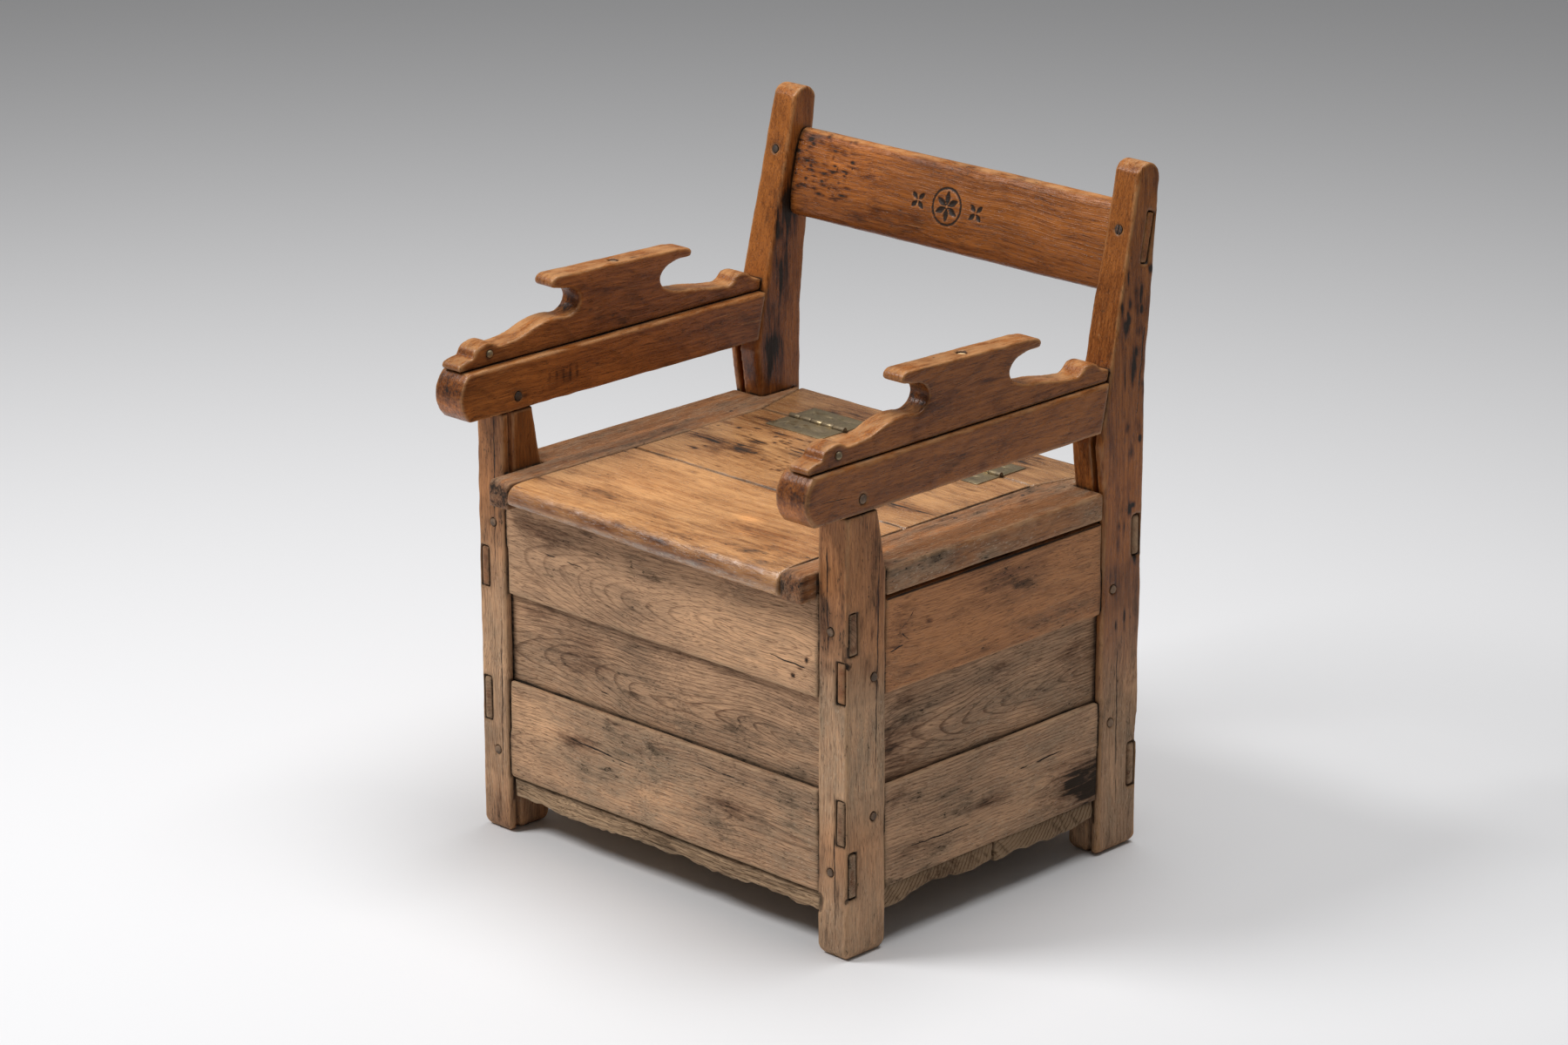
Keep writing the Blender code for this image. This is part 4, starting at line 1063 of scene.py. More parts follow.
def slotted_head(name, radius, depth):
    """A flat screw head with a slot across it, on +Z."""
    head = turned_mesh(
        name, ((0, 0.0), (radius * 0.82, 0.0001), (radius, -0.0002), (radius * 0.55, -depth), (0, -depth)), 20)
    slot = bmesh.new()
    bmesh.ops.create_cube(slot, size=1)
    bmesh.ops.scale(slot, vec=(radius * 3, radius * 0.26, depth), verts=slot.verts)
    bmesh.ops.translate(slot, vec=(0, 0, depth * 0.05), verts=slot.verts)
    cutter = new_object(name + "_slot", finished_mesh(name + "_slot", slot))
    result = modified(head, "BOOLEAN", operation="DIFFERENCE", solver="EXACT", object=cutter)
    bpy.data.objects.remove(cutter)
    return result


# Section limits of the posts and arms, for rounding their arrises

def fixed_limits(first, second):
    """The same two limits at every point."""
    return lambda points: np.tile((first, second), (len(points), 1))


def post_front(heights):
    """Depth of a back post's front face at each height."""
    swell = ELBOW_SWELL * np.clip((heights - SEAT_TOP) / (ELBOW_HEIGHT - SEAT_TOP), 0, 1)
    return POST_DEPTH - swell + LEAN_SLOPE * np.maximum(heights - ELBOW_HEIGHT, 0)


def front_post_limits(sign, far):
    """Inner front or outer back corner of a front post's section at each point."""
    def limits(points):
        across = np.full(len(points), sorted((sign * POST_INNER, sign * HALF_WIDTH))[far])
        rise = (points[:, 2] - SEAT_TOP) / (ARM_LOW - SEAT_TOP)
        neck = NECK_DEPTH + (POST_TOP_DEPTH - NECK_DEPTH) * rise
        depth = np.where(rise > 0, neck, FRONT_POST_DEPTH) if far else np.zeros(len(points))
        return np.stack((across, FRONT_FACE + depth), axis=1)
    return limits


def back_post_limits(sign, far):
    """Inner front or outer back corner of a leaning post's section at each point."""
    def limits(points):
        heights = points[:, 2]
        across = np.full(len(points), sign * POST_INNER)
        if (sign > 0) == bool(far):
            across = sign * (HALF_WIDTH - OUTER_TAPER * np.maximum(heights - ELBOW_HEIGHT, 0))
        depth = post_front(heights)
        if far:
            depth = CHAIR_DEPTH + BACK_SLOPE * np.maximum(heights - BACK_BEND, 0)
        return np.stack((across, FRONT_FACE + depth), axis=1)
    return limits


# Operators

class PieceOperator:
    """What every operator of the chair shares."""

    bl_options = {"REGISTER", "UNDO"}

    def execute(self, context):
        self.build(context)
        return {"FINISHED"}


class ARMCHAIR_OT_effects(PieceOperator, Operator):
    """Builds the shared node groups of grain, age, cracks and fasteners"""

    bl_idname = "armchair.effects"
    bl_label = "Shared Effects"

    def build(self, context):
        wood_grain_group()
        age_group()
        crack_group()
        fastener_group()


class ARMCHAIR_OT_front_posts(PieceOperator, Operator):
    """Adds the two front posts with worn arrises, open mortises and rounded feet"""

    bl_idname = "armchair.front_posts"
    bl_label = "Front Posts"

    def build(self, context):
        arris = context.scene.armchair_wear.arris
        for name, sign in SIDES:
            shapers = [
                rounded_arrises(2, front_post_limits(sign, 0), front_post_limits(sign, 1), arris, 11 + sign),
                worn_foot(0.012, 0.005),
            ]
            stains = patches([
                (0.277, 0.0, 0.02, 0.04, 0.08, 0.03, 0.35),
                (0.262, 0.0, 0.515, 0.02, 0.01, 0.018, 0.45),
                (0.268, 0.0, 0.385, 0.02, 0.01, 0.03, 0.40),
            ], sign)
            cracks = crack_lines([(0.272, 0.0, 0.34, 0.268, 0.0, 0.53, 0.0014, 0.005)], sign)
            if name == "right":
                shapers += chips([
                    (0.304, -0.005, 0.362, 0.0135, 3, 1.5),
                    (0.256, -0.006, 0.062, 0.011, 4, 1.6),
                    (0.303, -0.004, 0.070, 0.009, 5, 2.2),
                ])
                stains += patches([
                    (0.268, 0.0, 0.345, 0.010, 0.01, 0.012, 0.6),
                    (0.300, 0.045, 0.330, 0.01, 0.012, 0.02, 0.6),
                    (0.256, 0.0, 0.10, 0.012, 0.01, 0.03, 0.55),
                ])
                cracks += crack_lines([
                    (0.300, 0.046, 0.20, 0.300, 0.051, 0.50, 0.0013, 0.005),
                    (0.283, 0.0, 0.03, 0.280, 0.0, 0.20, 0.0012, 0.004),
                ])
            else:
                cracks += crack_lines([(-0.266, 0.0, 0.05, -0.262, 0.0, 0.30, 0.0012, 0.004)])
            piece = worn_piece(
                f"front_post_{name}", "z", 0.0018, 3, shapers, stains,
                patches([(0.28, 0.03, 0.19, 0.08, 0.10, 0.10, 0.18)], sign), (0.20, 0.46, 1), smudges=36)
            ring = (0, sign * 0.2, 0.33)
            coat(piece, "oiled", "z", ring, 0.03 * sign, 0.0036, cracks, 0.90, "dusty")
            coat(piece, "waxed", "z", ring, 0.03, 0.0050, shade=0.62, part=" inner face")
            coat_faces(piece, lambda face: face.center.z > SEAT_TOP and face.normal.x * sign < -FACING)


class ARMCHAIR_OT_back_posts(PieceOperator, Operator):
    """Adds the two leaning back posts with rounded tops"""

    bl_idname = "armchair.back_posts"
    bl_label = "Back Posts"

    def build(self, context):
        arris = context.scene.armchair_wear.arris * 1.1
        for name, sign in SIDES:
            shapers = [
                rounded_arrises(2, back_post_limits(sign, 0), back_post_limits(sign, 1), arris, 21 + sign),
                worn_foot(0.012, 0.006),
            ]
            if name == "right":
                shapers += chips([(0.302, 0.505, 0.145, 0.011, 6, 2.2), (0.303, 0.503, 0.350, 0.008, 7, 2.0)])
            stains = patches([
                (POST_INNER, 0.466, 0.62, 0.008, 0.017, 0.10, 1.10),
                (POST_INNER, 0.452, 0.52, 0.008, 0.021, 0.07, 1.10),
                (POST_INNER, 0.480, 0.68, 0.010, 0.016, 0.05, 1.10),
                (0.277, 0.425, 0.485, 0.03, 0.012, 0.035, 0.50),
                (0.28, 0.46, 0.0, 0.05, 0.08, 0.05, 0.40),
                (0.27, 0.45, 0.735, 0.03, 0.02, 0.05, 0.35),
                (0.277, 0.52, 0.80, 0.03, 0.03, 0.02, 0.35),
                (0.30, 0.49, 0.66, 0.012, 0.012, 0.10, 0.45),
                (0.30, 0.515, 0.755, 0.012, 0.010, 0.035, 0.62),
                (0.30, 0.46, 0.34, 0.01, 0.03, 0.03, 0.45),
                (0.30, 0.46, 0.22, 0.01, 0.03, 0.03, 0.40),
            ], sign)
            for place, reach, count, seed in (
                (spot(sign * 0.299, 0.490, 0.60), (0, 0.030, 0.11), 46, 61),
                (spot(sign * 0.300, 0.465, 0.36), (0, 0.025, 0.10), 10, 62),
            ):
                stains += specks(place, reach, through=0, along=2, count=count, seed=seed, size=0.0036)
            fades = patches([
                (0.30, 0.46, 0.19, 0.03, 0.10, 0.08, 0.20), (0.30, 0.46, 0.45, 0.02, 0.05, 0.06, 0.40)], sign)
            cracks = crack_lines([
                (0.299, 0.478, 0.48, 0.296, 0.505, 0.68, 0.0014, 0.006),
                (0.300, 0.462, 0.06, 0.300, 0.458, 0.30, 0.0012, 0.004),
            ], sign)
            piece = worn_piece(
                f"back_post_{name}", "z", 0.0019, 4, shapers, stains, fades, (0.12, 0.38, 1), rubbed=0.9)
            coat(piece, "waxed", "z", (0.4, sign * 0.16, 0.35), 0.05 * sign, 0.0055, cracks, lower="dusty")


class ARMCHAIR_OT_box_sides(PieceOperator, Operator):
    """Adds the rails and the recessed panels of the four sides"""

    bl_idname = "armchair.box_sides"
    bl_label = "Rails and Panels"

    # Boards of each side: growth rings along the grain, their slope and spacing, and the dust
    BOARDS = {
        "top_rail": (-0.25, 0.075, 0.0034, (0.10, 0.48, 1)),
        "panel": (0.20, 0.10, 0.0038, (0.08, 0.42, 1)),
        "bottom_rail": (-0.30, 0.05, 0.0042, (0.02, 0.42, 1)),
    }
    FRONT_FIGURE = (0.091, 0.16, 0.0046)

    # Smudges, scorch marks and painted shadows along edges, faded patches and cracks, by side and board
    STAINS = {
        ("front", "top_rail"): [
            # The wide band at the rail's top edge is partly painted shadow under the seat's nosing
            (-0.19, 0, 0.395, 0.11, 0.02, 0.025, 0.55), (0.02, 0, 0.417, 0.25, 0.02, 0.014, 0.50),
            (-0.20, 0, 0.33, 0.03, 0.02, 0.03, 0.30), (0.215, 0, 0.322, 0.0035, 0.02, 0.0035, 1.6),
            (0.236, 0, 0.345, 0.0030, 0.02, 0.0045, 1.4), (0.226, 0, 0.333, 0.006, 0.02, 0.003, 0.9)],
        ("front", "panel"): [
            # The rows near height 0.29 along the panel's top edge are painted shadow under the top rail
            (-0.14, 0.01, 0.255, 0.09, 0.02, 0.04, 0.55), (-0.20, 0.01, 0.29, 0.08, 0.02, 0.016, 0.60),
            (0.05, 0.01, 0.297, 0.22, 0.02, 0.010, 0.50), (0.22, 0.01, 0.285, 0.05, 0.02, 0.018, 0.45)],
        ("front", "bottom_rail"): [
            (-0.135, 0, 0.148, 0.045, 0.02, 0.013, 0.80), (0.125, 0, 0.135, 0.048, 0.02, 0.013, 0.85),
            (0.02, 0, 0.135, 0.016, 0.02, 0.018, 0.45), (-0.04, 0, 0.165, 0.03, 0.02, 0.008, 0.4),
            (-0.235, 0, 0.17, 0.012, 0.02, 0.02, 0.4), (0.235, 0, 0.165, 0.014, 0.02, 0.02, 0.45)],
        ("side", "top_rail"): [
            (0.30, 0.09, 0.385, 0.02, 0.025, 0.030, 0.60), (0.30, 0.135, 0.372, 0.02, 0.008, 0.005, 0.8),
            (0.30, 0.33, 0.395, 0.02, 0.03, 0.010, 0.3)],
        ("side", "panel"): [
            # The rows at the panel's top edge and at its back end are painted shade under the top rail and beside
            # the back post
            (0.29, 0.10, 0.285, 0.02, 0.06, 0.020, 0.5), (0.29, 0.40, 0.26, 0.02, 0.05, 0.06, 0.58),
            (0.29, 0.09, 0.225, 0.02, 0.06, 0.05, 0.72)],
        ("side", "bottom_rail"): [
            (0.30, 0.400, 0.128, 0.02, 0.060, 0.034, 0.35), (0.30, 0.400, 0.104, 0.02, 0.075, 0.040, 0.80),
            (0.30, 0.416, 0.100, 0.02, 0.060, 0.031, 1.6), (0.30, 0.24, 0.125, 0.02, 0.045, 0.011, 0.80),
            (0.30, 0.08, 0.175, 0.02, 0.03, 0.014, 0.6), (0.30, 0.12, 0.105, 0.02, 0.07, 0.018, 0.45)],
    }
    FADES = {
        ("front", "top_rail"): [
            (0.15, 0, 0.345, 0.10, 0.02, 0.035, 0.75), (0.22, 0, 0.36, 0.05, 0.02, 0.04, 0.5)],
        ("front", "bottom_rail"): [
            (-0.21, 0, 0.155, 0.06, 0.02, 0.035, 0.55), (-0.02, 0, 0.12, 0.10, 0.02, 0.03, 0.35),
            (0.20, 0, 0.15, 0.05, 0.02, 0.02, 0.3)],
        ("front", "panel"): [(0.10, 0.01, 0.235, 0.10, 0.02, 0.02, 0.3)],
    }
    CRACKS = {
        ("front", "top_rail"): [
            (0.165, 0.002, 0.340, 0.254, 0.002, 0.334, 0.0013, 0.006),
            (-0.25, 0.002, 0.372, -0.10, 0.002, 0.366, 0.0010, 0.006)],
        ("front", "panel"): [(-0.24, 0.013, 0.222, 0.05, 0.013, 0.214, 0.0010, 0.008)],
        ("front", "bottom_rail"): [
            (-0.150, 0.002, 0.150, -0.045, 0.002, 0.143, 0.0015, 0.005),
            (0.06, 0.002, 0.176, 0.16, 0.002, 0.172, 0.0010, 0.005)],
        ("side", "top_rail"): [
            (0.298, 0.066, 0.352, 0.298, 0.105, 0.356, 0.0014, 0.010),
            (0.298, 0.105, 0.356, 0.298, 0.088, 0.372, 0.0012, 0.010),
            (0.298, 0.088, 0.372, 0.298, 0.110, 0.392, 0.0011, 0.012)],
        ("side", "bottom_rail"): [
            (0.298, 0.28, 0.150, 0.298, 0.37, 0.153, 0.0014, 0.005),
            (0.298, 0.07, 0.110, 0.298, 0.22, 0.107, 0.0010, 0.005)],
    }

    def build(self, context):
        for side, suffix, sign, grain, detail in (
            ("front", "", 1, "x", 0.0024), ("back", "", 1, "x", 0.0032),
            ("side", "_left", -1, "y", 0.0026), ("side", "_right", 1, "y", 0.0024),
        ):
            for board in self.BOARDS:
                self.add_board(side, board, suffix, sign, grain, detail)

    def add_board(self, side, board, suffix, sign, grain, detail):
        """One rail or panel."""
        node = f"{side}_{board}{suffix}"
        place = ("front" if side == "front" else "side", board)
        low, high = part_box(node)
        middle = (low + high) / 2
        along, slope, spacing, dust = self.BOARDS[board]
        if place == ("front", "top_rail"):
            along, slope, spacing = self.FRONT_FIGURE
        # Stains here include the painted shadows along the rails' and panels' edges
        stains = patches(self.STAINS[place], sign)
        fades = patches(self.FADES.get((side, board), ()))
        cracks = crack_lines(self.CRACKS.get(place, ()), sign)
        if place == ("side", "top_rail"):
            seam = high.z - 0.0004
            cracks += crack_lines([(0.298, -0.05, seam, 0.298, 0.55, seam, 0.0034, 0.0012)], sign)
        if board != "panel":
            fades += self.tenon_ends(low, high, "xyz".index(grain))
        piece = worn_piece(node, grain, detail, 1 if board == "panel" else 2, (), stains, fades, dust, 1.6)
        depth = middle.y if grain == "x" else -middle.x
        coat(piece, "oiled" if (side, board) == ("side", "top_rail") else "dusty", grain,
             (along, depth, middle.z - 0.012), slope, spacing, cracks)

    @staticmethod
    def tenon_ends(low, high, along):
        """Deeper colour on the end grain of both tenons of a rail."""
        radii = [0.03, 0.03, 0.12]
        radii[along] = 0.004
        ends = []
        for corner in (low, high):
            place = (low + high) / 2
            place[along] = corner[along]
            ends.append((place, radii, -0.85))
        return ends


class ARMCHAIR_OT_floor(PieceOperator, Operator):
    """Adds the rough floor boards with their torn edges"""

    bl_idname = "armchair.floor_boards"
    bl_label = "Floor Boards"

    def build(self, context):
        for index, node in enumerate(("floor_board_front", "floor_board_back")):
            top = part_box(node)[1].z
            stains = patches([
                (-0.10, 0.0, top, 0.20, 0.02, 0.008, 0.8), (0.15, 0.0, top, 0.15, 0.02, 0.007, 0.8),
                (0.30, 0.17, 0.055, 0.02, 0.09, 0.03, 0.50), (0.30, 0.36, 0.070, 0.02, 0.07, 0.012, 0.45),
                (-0.30, 0.20, 0.06, 0.02, 0.20, 0.03, 0.45),
            ])
            piece = worn_piece(
                node, "x", 0.0029, 1, [ragged_underside(0.012, 31 + index)], stains, wave=2.0)
            ring = (0, middle_of(node).y - 0.16, 0.17)
            coat(piece, "raw", "x", ring, 0.02, 0.0046)
            coat(piece, "sawn", "x", ring, 0.02, 0.0058, shade=0.9, part=" ends")
            coat_faces(piece, lambda face: abs(face.normal.x) > FACING)


class ARMCHAIR_OT_seat(PieceOperator, Operator):
    """Adds the seat bearers, the strip behind the lid, the lid boards and their battens"""

    bl_idname = "armchair.seat"
    bl_label = "Seat and Lid"

    def build(self, context):
        for name, sign in SIDES:
            self.add_bearer(name, sign)
        self.add_strip()
        hollow = hollowed(Vector(spot(0.0, 0.11, SEAT_TOP)), (0.17, 0.10, 0.02), 0.0022)
        self.add_lid_front(hollow)
        self.add_lid_rear(hollow)
        for name, sign in SIDES:
            batten = worn_piece(f"lid_batten_{name}", "y", 0.0022, 2)
            coat(batten, "raw", "y", (0, sign * 0.05, 0.36), 0.05, 0.005)

    @staticmethod
    def add_bearer(name, sign):
        """A board beside the lid, nosed in front."""
        shapers = [scooped(spot(sign * 0.258, -0.030, SEAT_TOP + 0.004), 0.010, 41 + sign, (1.4, 1, 1))]
        stains = patches([
            (0.237, -0.030, 0.438, 0.05, 0.020, 0.03, 0.95), (0.25, 0.25, SEAT_TOP, 0.02, 0.15, 0.01, 0.25),
            (0.30, 0.17, 0.436, 0.01, 0.04, 0.008, 0.5), (0.235, 0.20, SEAT_TOP, 0.014, 0.25, 0.01, 0.50),
        ], sign)
        scuffs = patches([
            (0.2537, 0.09, SEAT_TOP, 0.005, 0.05, 0.005, 0.9),
            (0.2537, 0.24, SEAT_TOP, 0.004, 0.10, 0.005, 0.7),
        ], sign)
        bearer = worn_piece(
            f"seat_bearer_{name}", "y", 0.0021, 3, shapers, stains, scuffs, (0.42, 0.56, 1))
        coat(bearer, "oiled", "y", (0, sign * 0.18, 0.36), 0.06, 0.0050, shade=0.77)

    @staticmethod
    def add_strip():
        """The fixed board behind the lid."""
        stains = patches([
            (-0.12, 0.45, SEAT_TOP, 0.07, 0.03, 0.01, 0.8), (0.14, 0.46, SEAT_TOP, 0.07, 0.03, 0.01, 0.75)])
        strip = worn_piece("seat_back_strip", "x", 0.0022, 2, (), stains, dust=(0.36, 0.47, 1))
        seam = crack_lines([(-0.30, 0.396, SEAT_TOP, 0.30, 0.396, SEAT_TOP, 0.0040, 0.0014)])
        coat(strip, "seat", "x", (-0.2, 0.2, 0.40), 0.1, 0.006, seam, 0.80)

    @staticmethod
    def add_lid_front(hollow):
        """The lid's front board with its heavy nosing."""
        low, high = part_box("lid_front_board")
        nose = rolled_front(0.042, 0.006, low.z)
        lip = hanging_lip(low.x, high.x, FRONT_FACE - 0.002, 0.0065)
        stains = patches([
            (0.05, 0.028, SEAT_TOP, 0.05, 0.010, 0.012, 0.62), (-0.05, 0.055, SEAT_TOP, 0.02, 0.010, 0.012, 0.40),
            (0.11, 0.045, SEAT_TOP, 0.05, 0.010, 0.012, 0.60), (-0.17, -0.01, 0.445, 0.06, 0.012, 0.010, 0.60),
            (0.02, -0.022, 0.443, 0.40, 0.012, 0.010, 0.46), (-0.11, 0.14, SEAT_TOP, 0.05, 0.012, 0.012, 0.35),
            (0.20, -0.005, SEAT_TOP, 0.03, 0.02, 0.010, 0.50), (0.02, 0.004, SEAT_TOP, 0.03, 0.008, 0.008, 0.55),
        ])
        fades = patches([
            (0.0, -0.030, 0.4365, 0.60, 0.022, 0.0100, -0.95),
            (0.065, 0.085, SEAT_TOP, 0.016, 0.008, 0.01, 0.9),
            (0.10, 0.045, SEAT_TOP, 0.018, 0.007, 0.01, 0.9),
            (-0.10, 0.08, SEAT_TOP, 0.06, 0.03, 0.01, 0.25),
        ])
        # The dust band along the nosing's underside is partly dust, partly a painted reflection of the floor
        front = worn_piece(
            "lid_front_board", "x", 0.0020, 4, [hollow, nose, lip], stains, fades, (0.4295, 0.4355, 1.8),
            smudges=44, grime=0.6)
        # Dust stays full on the front, where it paints the floor's reflection on the nosing
        ahead = smoothstep(FRONT_FACE + 0.002, FRONT_FACE - 0.010, get_points(front.data)[:, 1])
        set_mark(front.data, "dust", get_mark(front.data, "dust") * np.maximum(ahead, 0.3))
        joint = SEAT_TOP - 0.0008
        seams = crack_lines([
            (-0.30, 0.180, joint, 0.30, 0.180, joint, 0.0050, 0.0016),
            (-0.2195, -0.08, joint, -0.2195, 0.26, joint, 0.0022, 0.0008),
            (0.2195, -0.08, joint, 0.2195, 0.26, joint, 0.0034, 0.0012),
        ])
        coat(front, "seat", "x", (-0.45, FRONT_FACE + 0.10, 0.425), 0.055, 0.0065, seams)

    @staticmethod
    def add_lid_rear(hollow):
        """The lid's rear board, scorched and cracked."""
        stains = patches([
            (-0.14, 0.26, SEAT_TOP, 0.09, 0.028, 0.012, 0.88), (-0.03, 0.29, SEAT_TOP, 0.09, 0.026, 0.012, 0.70),
            (-0.17, 0.36, SEAT_TOP, 0.05, 0.022, 0.012, 0.75), (0.12, 0.30, SEAT_TOP, 0.06, 0.025, 0.012, 0.62),
            (0.02, 0.37, SEAT_TOP, 0.07, 0.020, 0.012, 0.66),
        ])
        stains += specks(
            spot(-0.09, 0.28, SEAT_TOP), (0.12, 0.06, 0), through=2, along=0, count=80, seed=63, size=0.0028)
        rear = worn_piece(
            "lid_rear_board", "x", 0.0021, 3, [hollow], stains, dust=(0.36, 0.436, 1), smudges=110, grime=0.6)
        joint = SEAT_TOP - 0.0008
        cracks = crack_lines([
            (-0.30, 0.180, joint, 0.30, 0.180, joint, 0.0042, 0.0016),
            (-0.30, 0.396, joint, 0.30, 0.396, joint, 0.0048, 0.0014),
            (-0.2195, 0.08, joint, -0.2195, 0.50, joint, 0.0030, 0.0020),
            (0.2195, 0.08, joint, 0.2195, 0.50, joint, 0.0032, 0.0012),
            (0.10, 0.232, SEAT_TOP, 0.219, 0.236, SEAT_TOP, 0.0022, 0.004),
            (-0.20, 0.295, SEAT_TOP, -0.02, 0.300, SEAT_TOP, 0.0012, 0.012),
            (-0.12, 0.27, SEAT_TOP, 0.03, 0.33, SEAT_TOP, 0.0010, 0.014),
        ])
        coat(rear, "seat", "x", (0.25, FRONT_FACE + 0.28, 0.425), 0.11, 0.0060, cracks, 0.86)


class ARMCHAIR_OT_arms(PieceOperator, Operator):
    """Adds the arms with bull noses and the carved riser boards on them"""

    bl_idname = "armchair.arms"
    bl_label = "Arms and Risers"

    def build(self, context):
        arris = context.scene.armchair_wear.arris * 0.8
        for name, sign in SIDES:
            left, right = sorted((sign * ARM_INNER, sign * HALF_WIDTH))
            shapers = [rounded_arrises(
                1, fixed_limits(left, ARM_LOW), fixed_limits(right, ARM_HIGH), arris, 51 + sign)]
            stains = patches([
                (0.276, -0.060, 0.562, 0.04, 0.020, 0.022, 0.66), (0.252, 0.03, 0.542, 0.01, 0.016, 0.009, 0.62),
                *((0.252, 0.075 + 0.011 * step, 0.553, 0.008, 0.0028, 0.011, 0.75) for step in range(5)),
                (0.252, 0.24, 0.55, 0.01, 0.05, 0.015, 0.3),
            ], sign)
            # The lighter patch under each arm's nose is a painted reflection of the floor
            fades = patches([(0.276, -0.062, 0.540, 0.03, 0.014, 0.011, 0.95)], sign)
            cracks = crack_lines([
                (0.300, 0.19, 0.561, 0.300, 0.235, 0.562, 0.0009, 0.004),
                (0.300, -0.045, 0.552, 0.300, 0.01, 0.549, 0.0007, 0.004),
            ], sign)
            arm = worn_piece(f"arm_{name}", "y", 0.0019, 3, shapers, stains, fades, rubbed=0.5)
            coat(arm, "waxed", "y", (-0.3, sign * 0.19, 0.50), 0.08, 0.0062, cracks)
            stains = patches([
                (0.279, 0.122, 0.632, 0.03, 0.018, 0.024, 1.1), (0.26, 0.24, 0.61, 0.01, 0.05, 0.02, 0.35),
                (0.279, 0.30, 0.62, 0.02, 0.02, 0.01, 0.35),
            ], sign)
            riser = worn_piece(f"arm_riser_{name}", "y", 0.0016, 5, (), stains, rubbed=0.8)
            coat(riser, "waxed", "y", (0.2, sign * 0.21, 0.56), 0.07, 0.0058, shade=0.96)


class ARMCHAIR_OT_crest_rail(PieceOperator, Operator):
    """Adds the crest rail with a small chip-carved rosette"""

    bl_idname = "armchair.crest_rail"
    bl_label = "Crest Rail"

    def build(self, context):
        middle = middle_of("crest_rail")
        depth = middle.y - FRONT_FACE
        stains = patches([
            (-0.20, depth, 0.745, 0.07, 0.03, 0.035, 0.22), (-0.11, depth, 0.705, 0.018, 0.03, 0.013, 0.85),
            (0.15, depth, 0.757, 0.022, 0.03, 0.016, 0.60), (0.10, depth, 0.725, 0.04, 0.03, 0.025, 0.40),
            (-0.05, depth, 0.690, 0.20, 0.03, 0.008, 0.50), (0.18, depth, 0.695, 0.06, 0.03, 0.012, 0.45),
        ])
        stains += specks(
            spot(-0.205, depth - 0.012, 0.742), (0.050, 0, 0.038), through=1, along=0, count=150, seed=64,
            size=0.0019)
        fades = patches([
            (-0.18, depth, 0.745, 0.08, 0.03, 0.05, 0.75), (0.17, depth, 0.73, 0.05, 0.03, 0.03, 0.2)])
        crest = worn_piece("crest_rail", "x", 0.00145, 5, [carved_mark(middle)], stains, fades, rubbed=0.8)
        darkened = np.clip(3.0 * mark_depth(get_points(crest.data), np.array(middle)), 0, 1)
        set_mark(crest.data, "stain", np.maximum(get_mark(crest.data, "stain"), darkened))
        coat(crest, "waxed", "x", (-0.35, middle.y + 0.01, middle.z - 0.03), 0.06, 0.0050, shade=0.95)


class ARMCHAIR_OT_pegs(PieceOperator, Operator):
    """Sets the whittled draw-bore pegs, arm pegs, crest pegs and riser dowels"""

    bl_idname = "armchair.pegs"
    bl_label = "Pegs and Dowels"

    # Turned outlines as (radius, height)
    PEG = ((0, 0.0), (0.0042, 0.0), (0.0047, -0.0003), (0.0047, -0.022), (0, -0.022))
    DOWEL = ((0, 0.0), (0.0048, 0.0001), (0.0056, -0.0005), (0.0057, -0.05), (0, -0.05))

    def build(self, context):
        dark = end_grain_material("peg end grain", (0.27, 0.165, 0.095), (0.085, 0.052, 0.032))
        sunk = end_grain_material("sunken peg", (0.070, 0.043, 0.026), (0.016, 0.010, 0.007))
        pale = end_grain_material("dowel end grain", (0.60, 0.40, 0.20), (0.34, 0.20, 0.09))
        nodes = sorted(node for node in frame["nodes"] if node.startswith("drawbore_peg"))
        fastener_piece(
            "drawbore_pegs", nodes, turned_mesh("drawbore_peg", self.PEG, 9, 0.09),
            [node_end(node, self.outward(node)) for node in nodes], dark, 1.0, 0.08)
        for node, material in (("arm_peg_left", sunk), ("arm_peg_right", dark)):
            fastener_piece(
                f"{node}_whittled", [node], turned_mesh("arm_peg", self.PEG, 10, 0.06),
                [node_end(node, LEFT), node_end(node, RIGHT)], material, 1.15, 0.03)
        fastener_piece(
            "crest_peg_worn", ["crest_peg_left"], turned_mesh("crest_peg", self.PEG, 9, 0.08),
            [self.leaning_end("crest_peg_left")], sunk)
        fastener_piece(
            "crest_screw", ["crest_peg_right"], slotted_head("crest_screw", 0.0054, 0.0022),
            [self.leaning_end("crest_peg_right")], iron_material("screw iron"))
        for node, material in (("riser_dowel_left", dark), ("riser_dowel_right", pale)):
            fastener_piece(
                f"{node}_turned", [node], turned_mesh("riser_dowel", self.DOWEL, 12, 0.05),
                [node_end(node, UP, 0.0006)], material)

    @staticmethod
    def outward(node):
        """The way that a draw-bore peg's outer end faces."""
        for label, way in (
            ("_front_bottom", FORWARD), ("_front_top", FORWARD), ("_side_left", LEFT), ("_side_right", RIGHT),
        ):
            if label in node:
                return way
        return BACKWARD

    @staticmethod
    def leaning_end(node):
        """A point just inside the front end of a crest peg, and the way out."""
        low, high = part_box(node)
        width = high.x - low.x
        reach = (high.y - low.y - width * abs(CREST_INTO.z)) / CREST_INTO.y / 2
        return middle_of(node) - CREST_INTO * (reach - END_INSET), -CREST_INTO


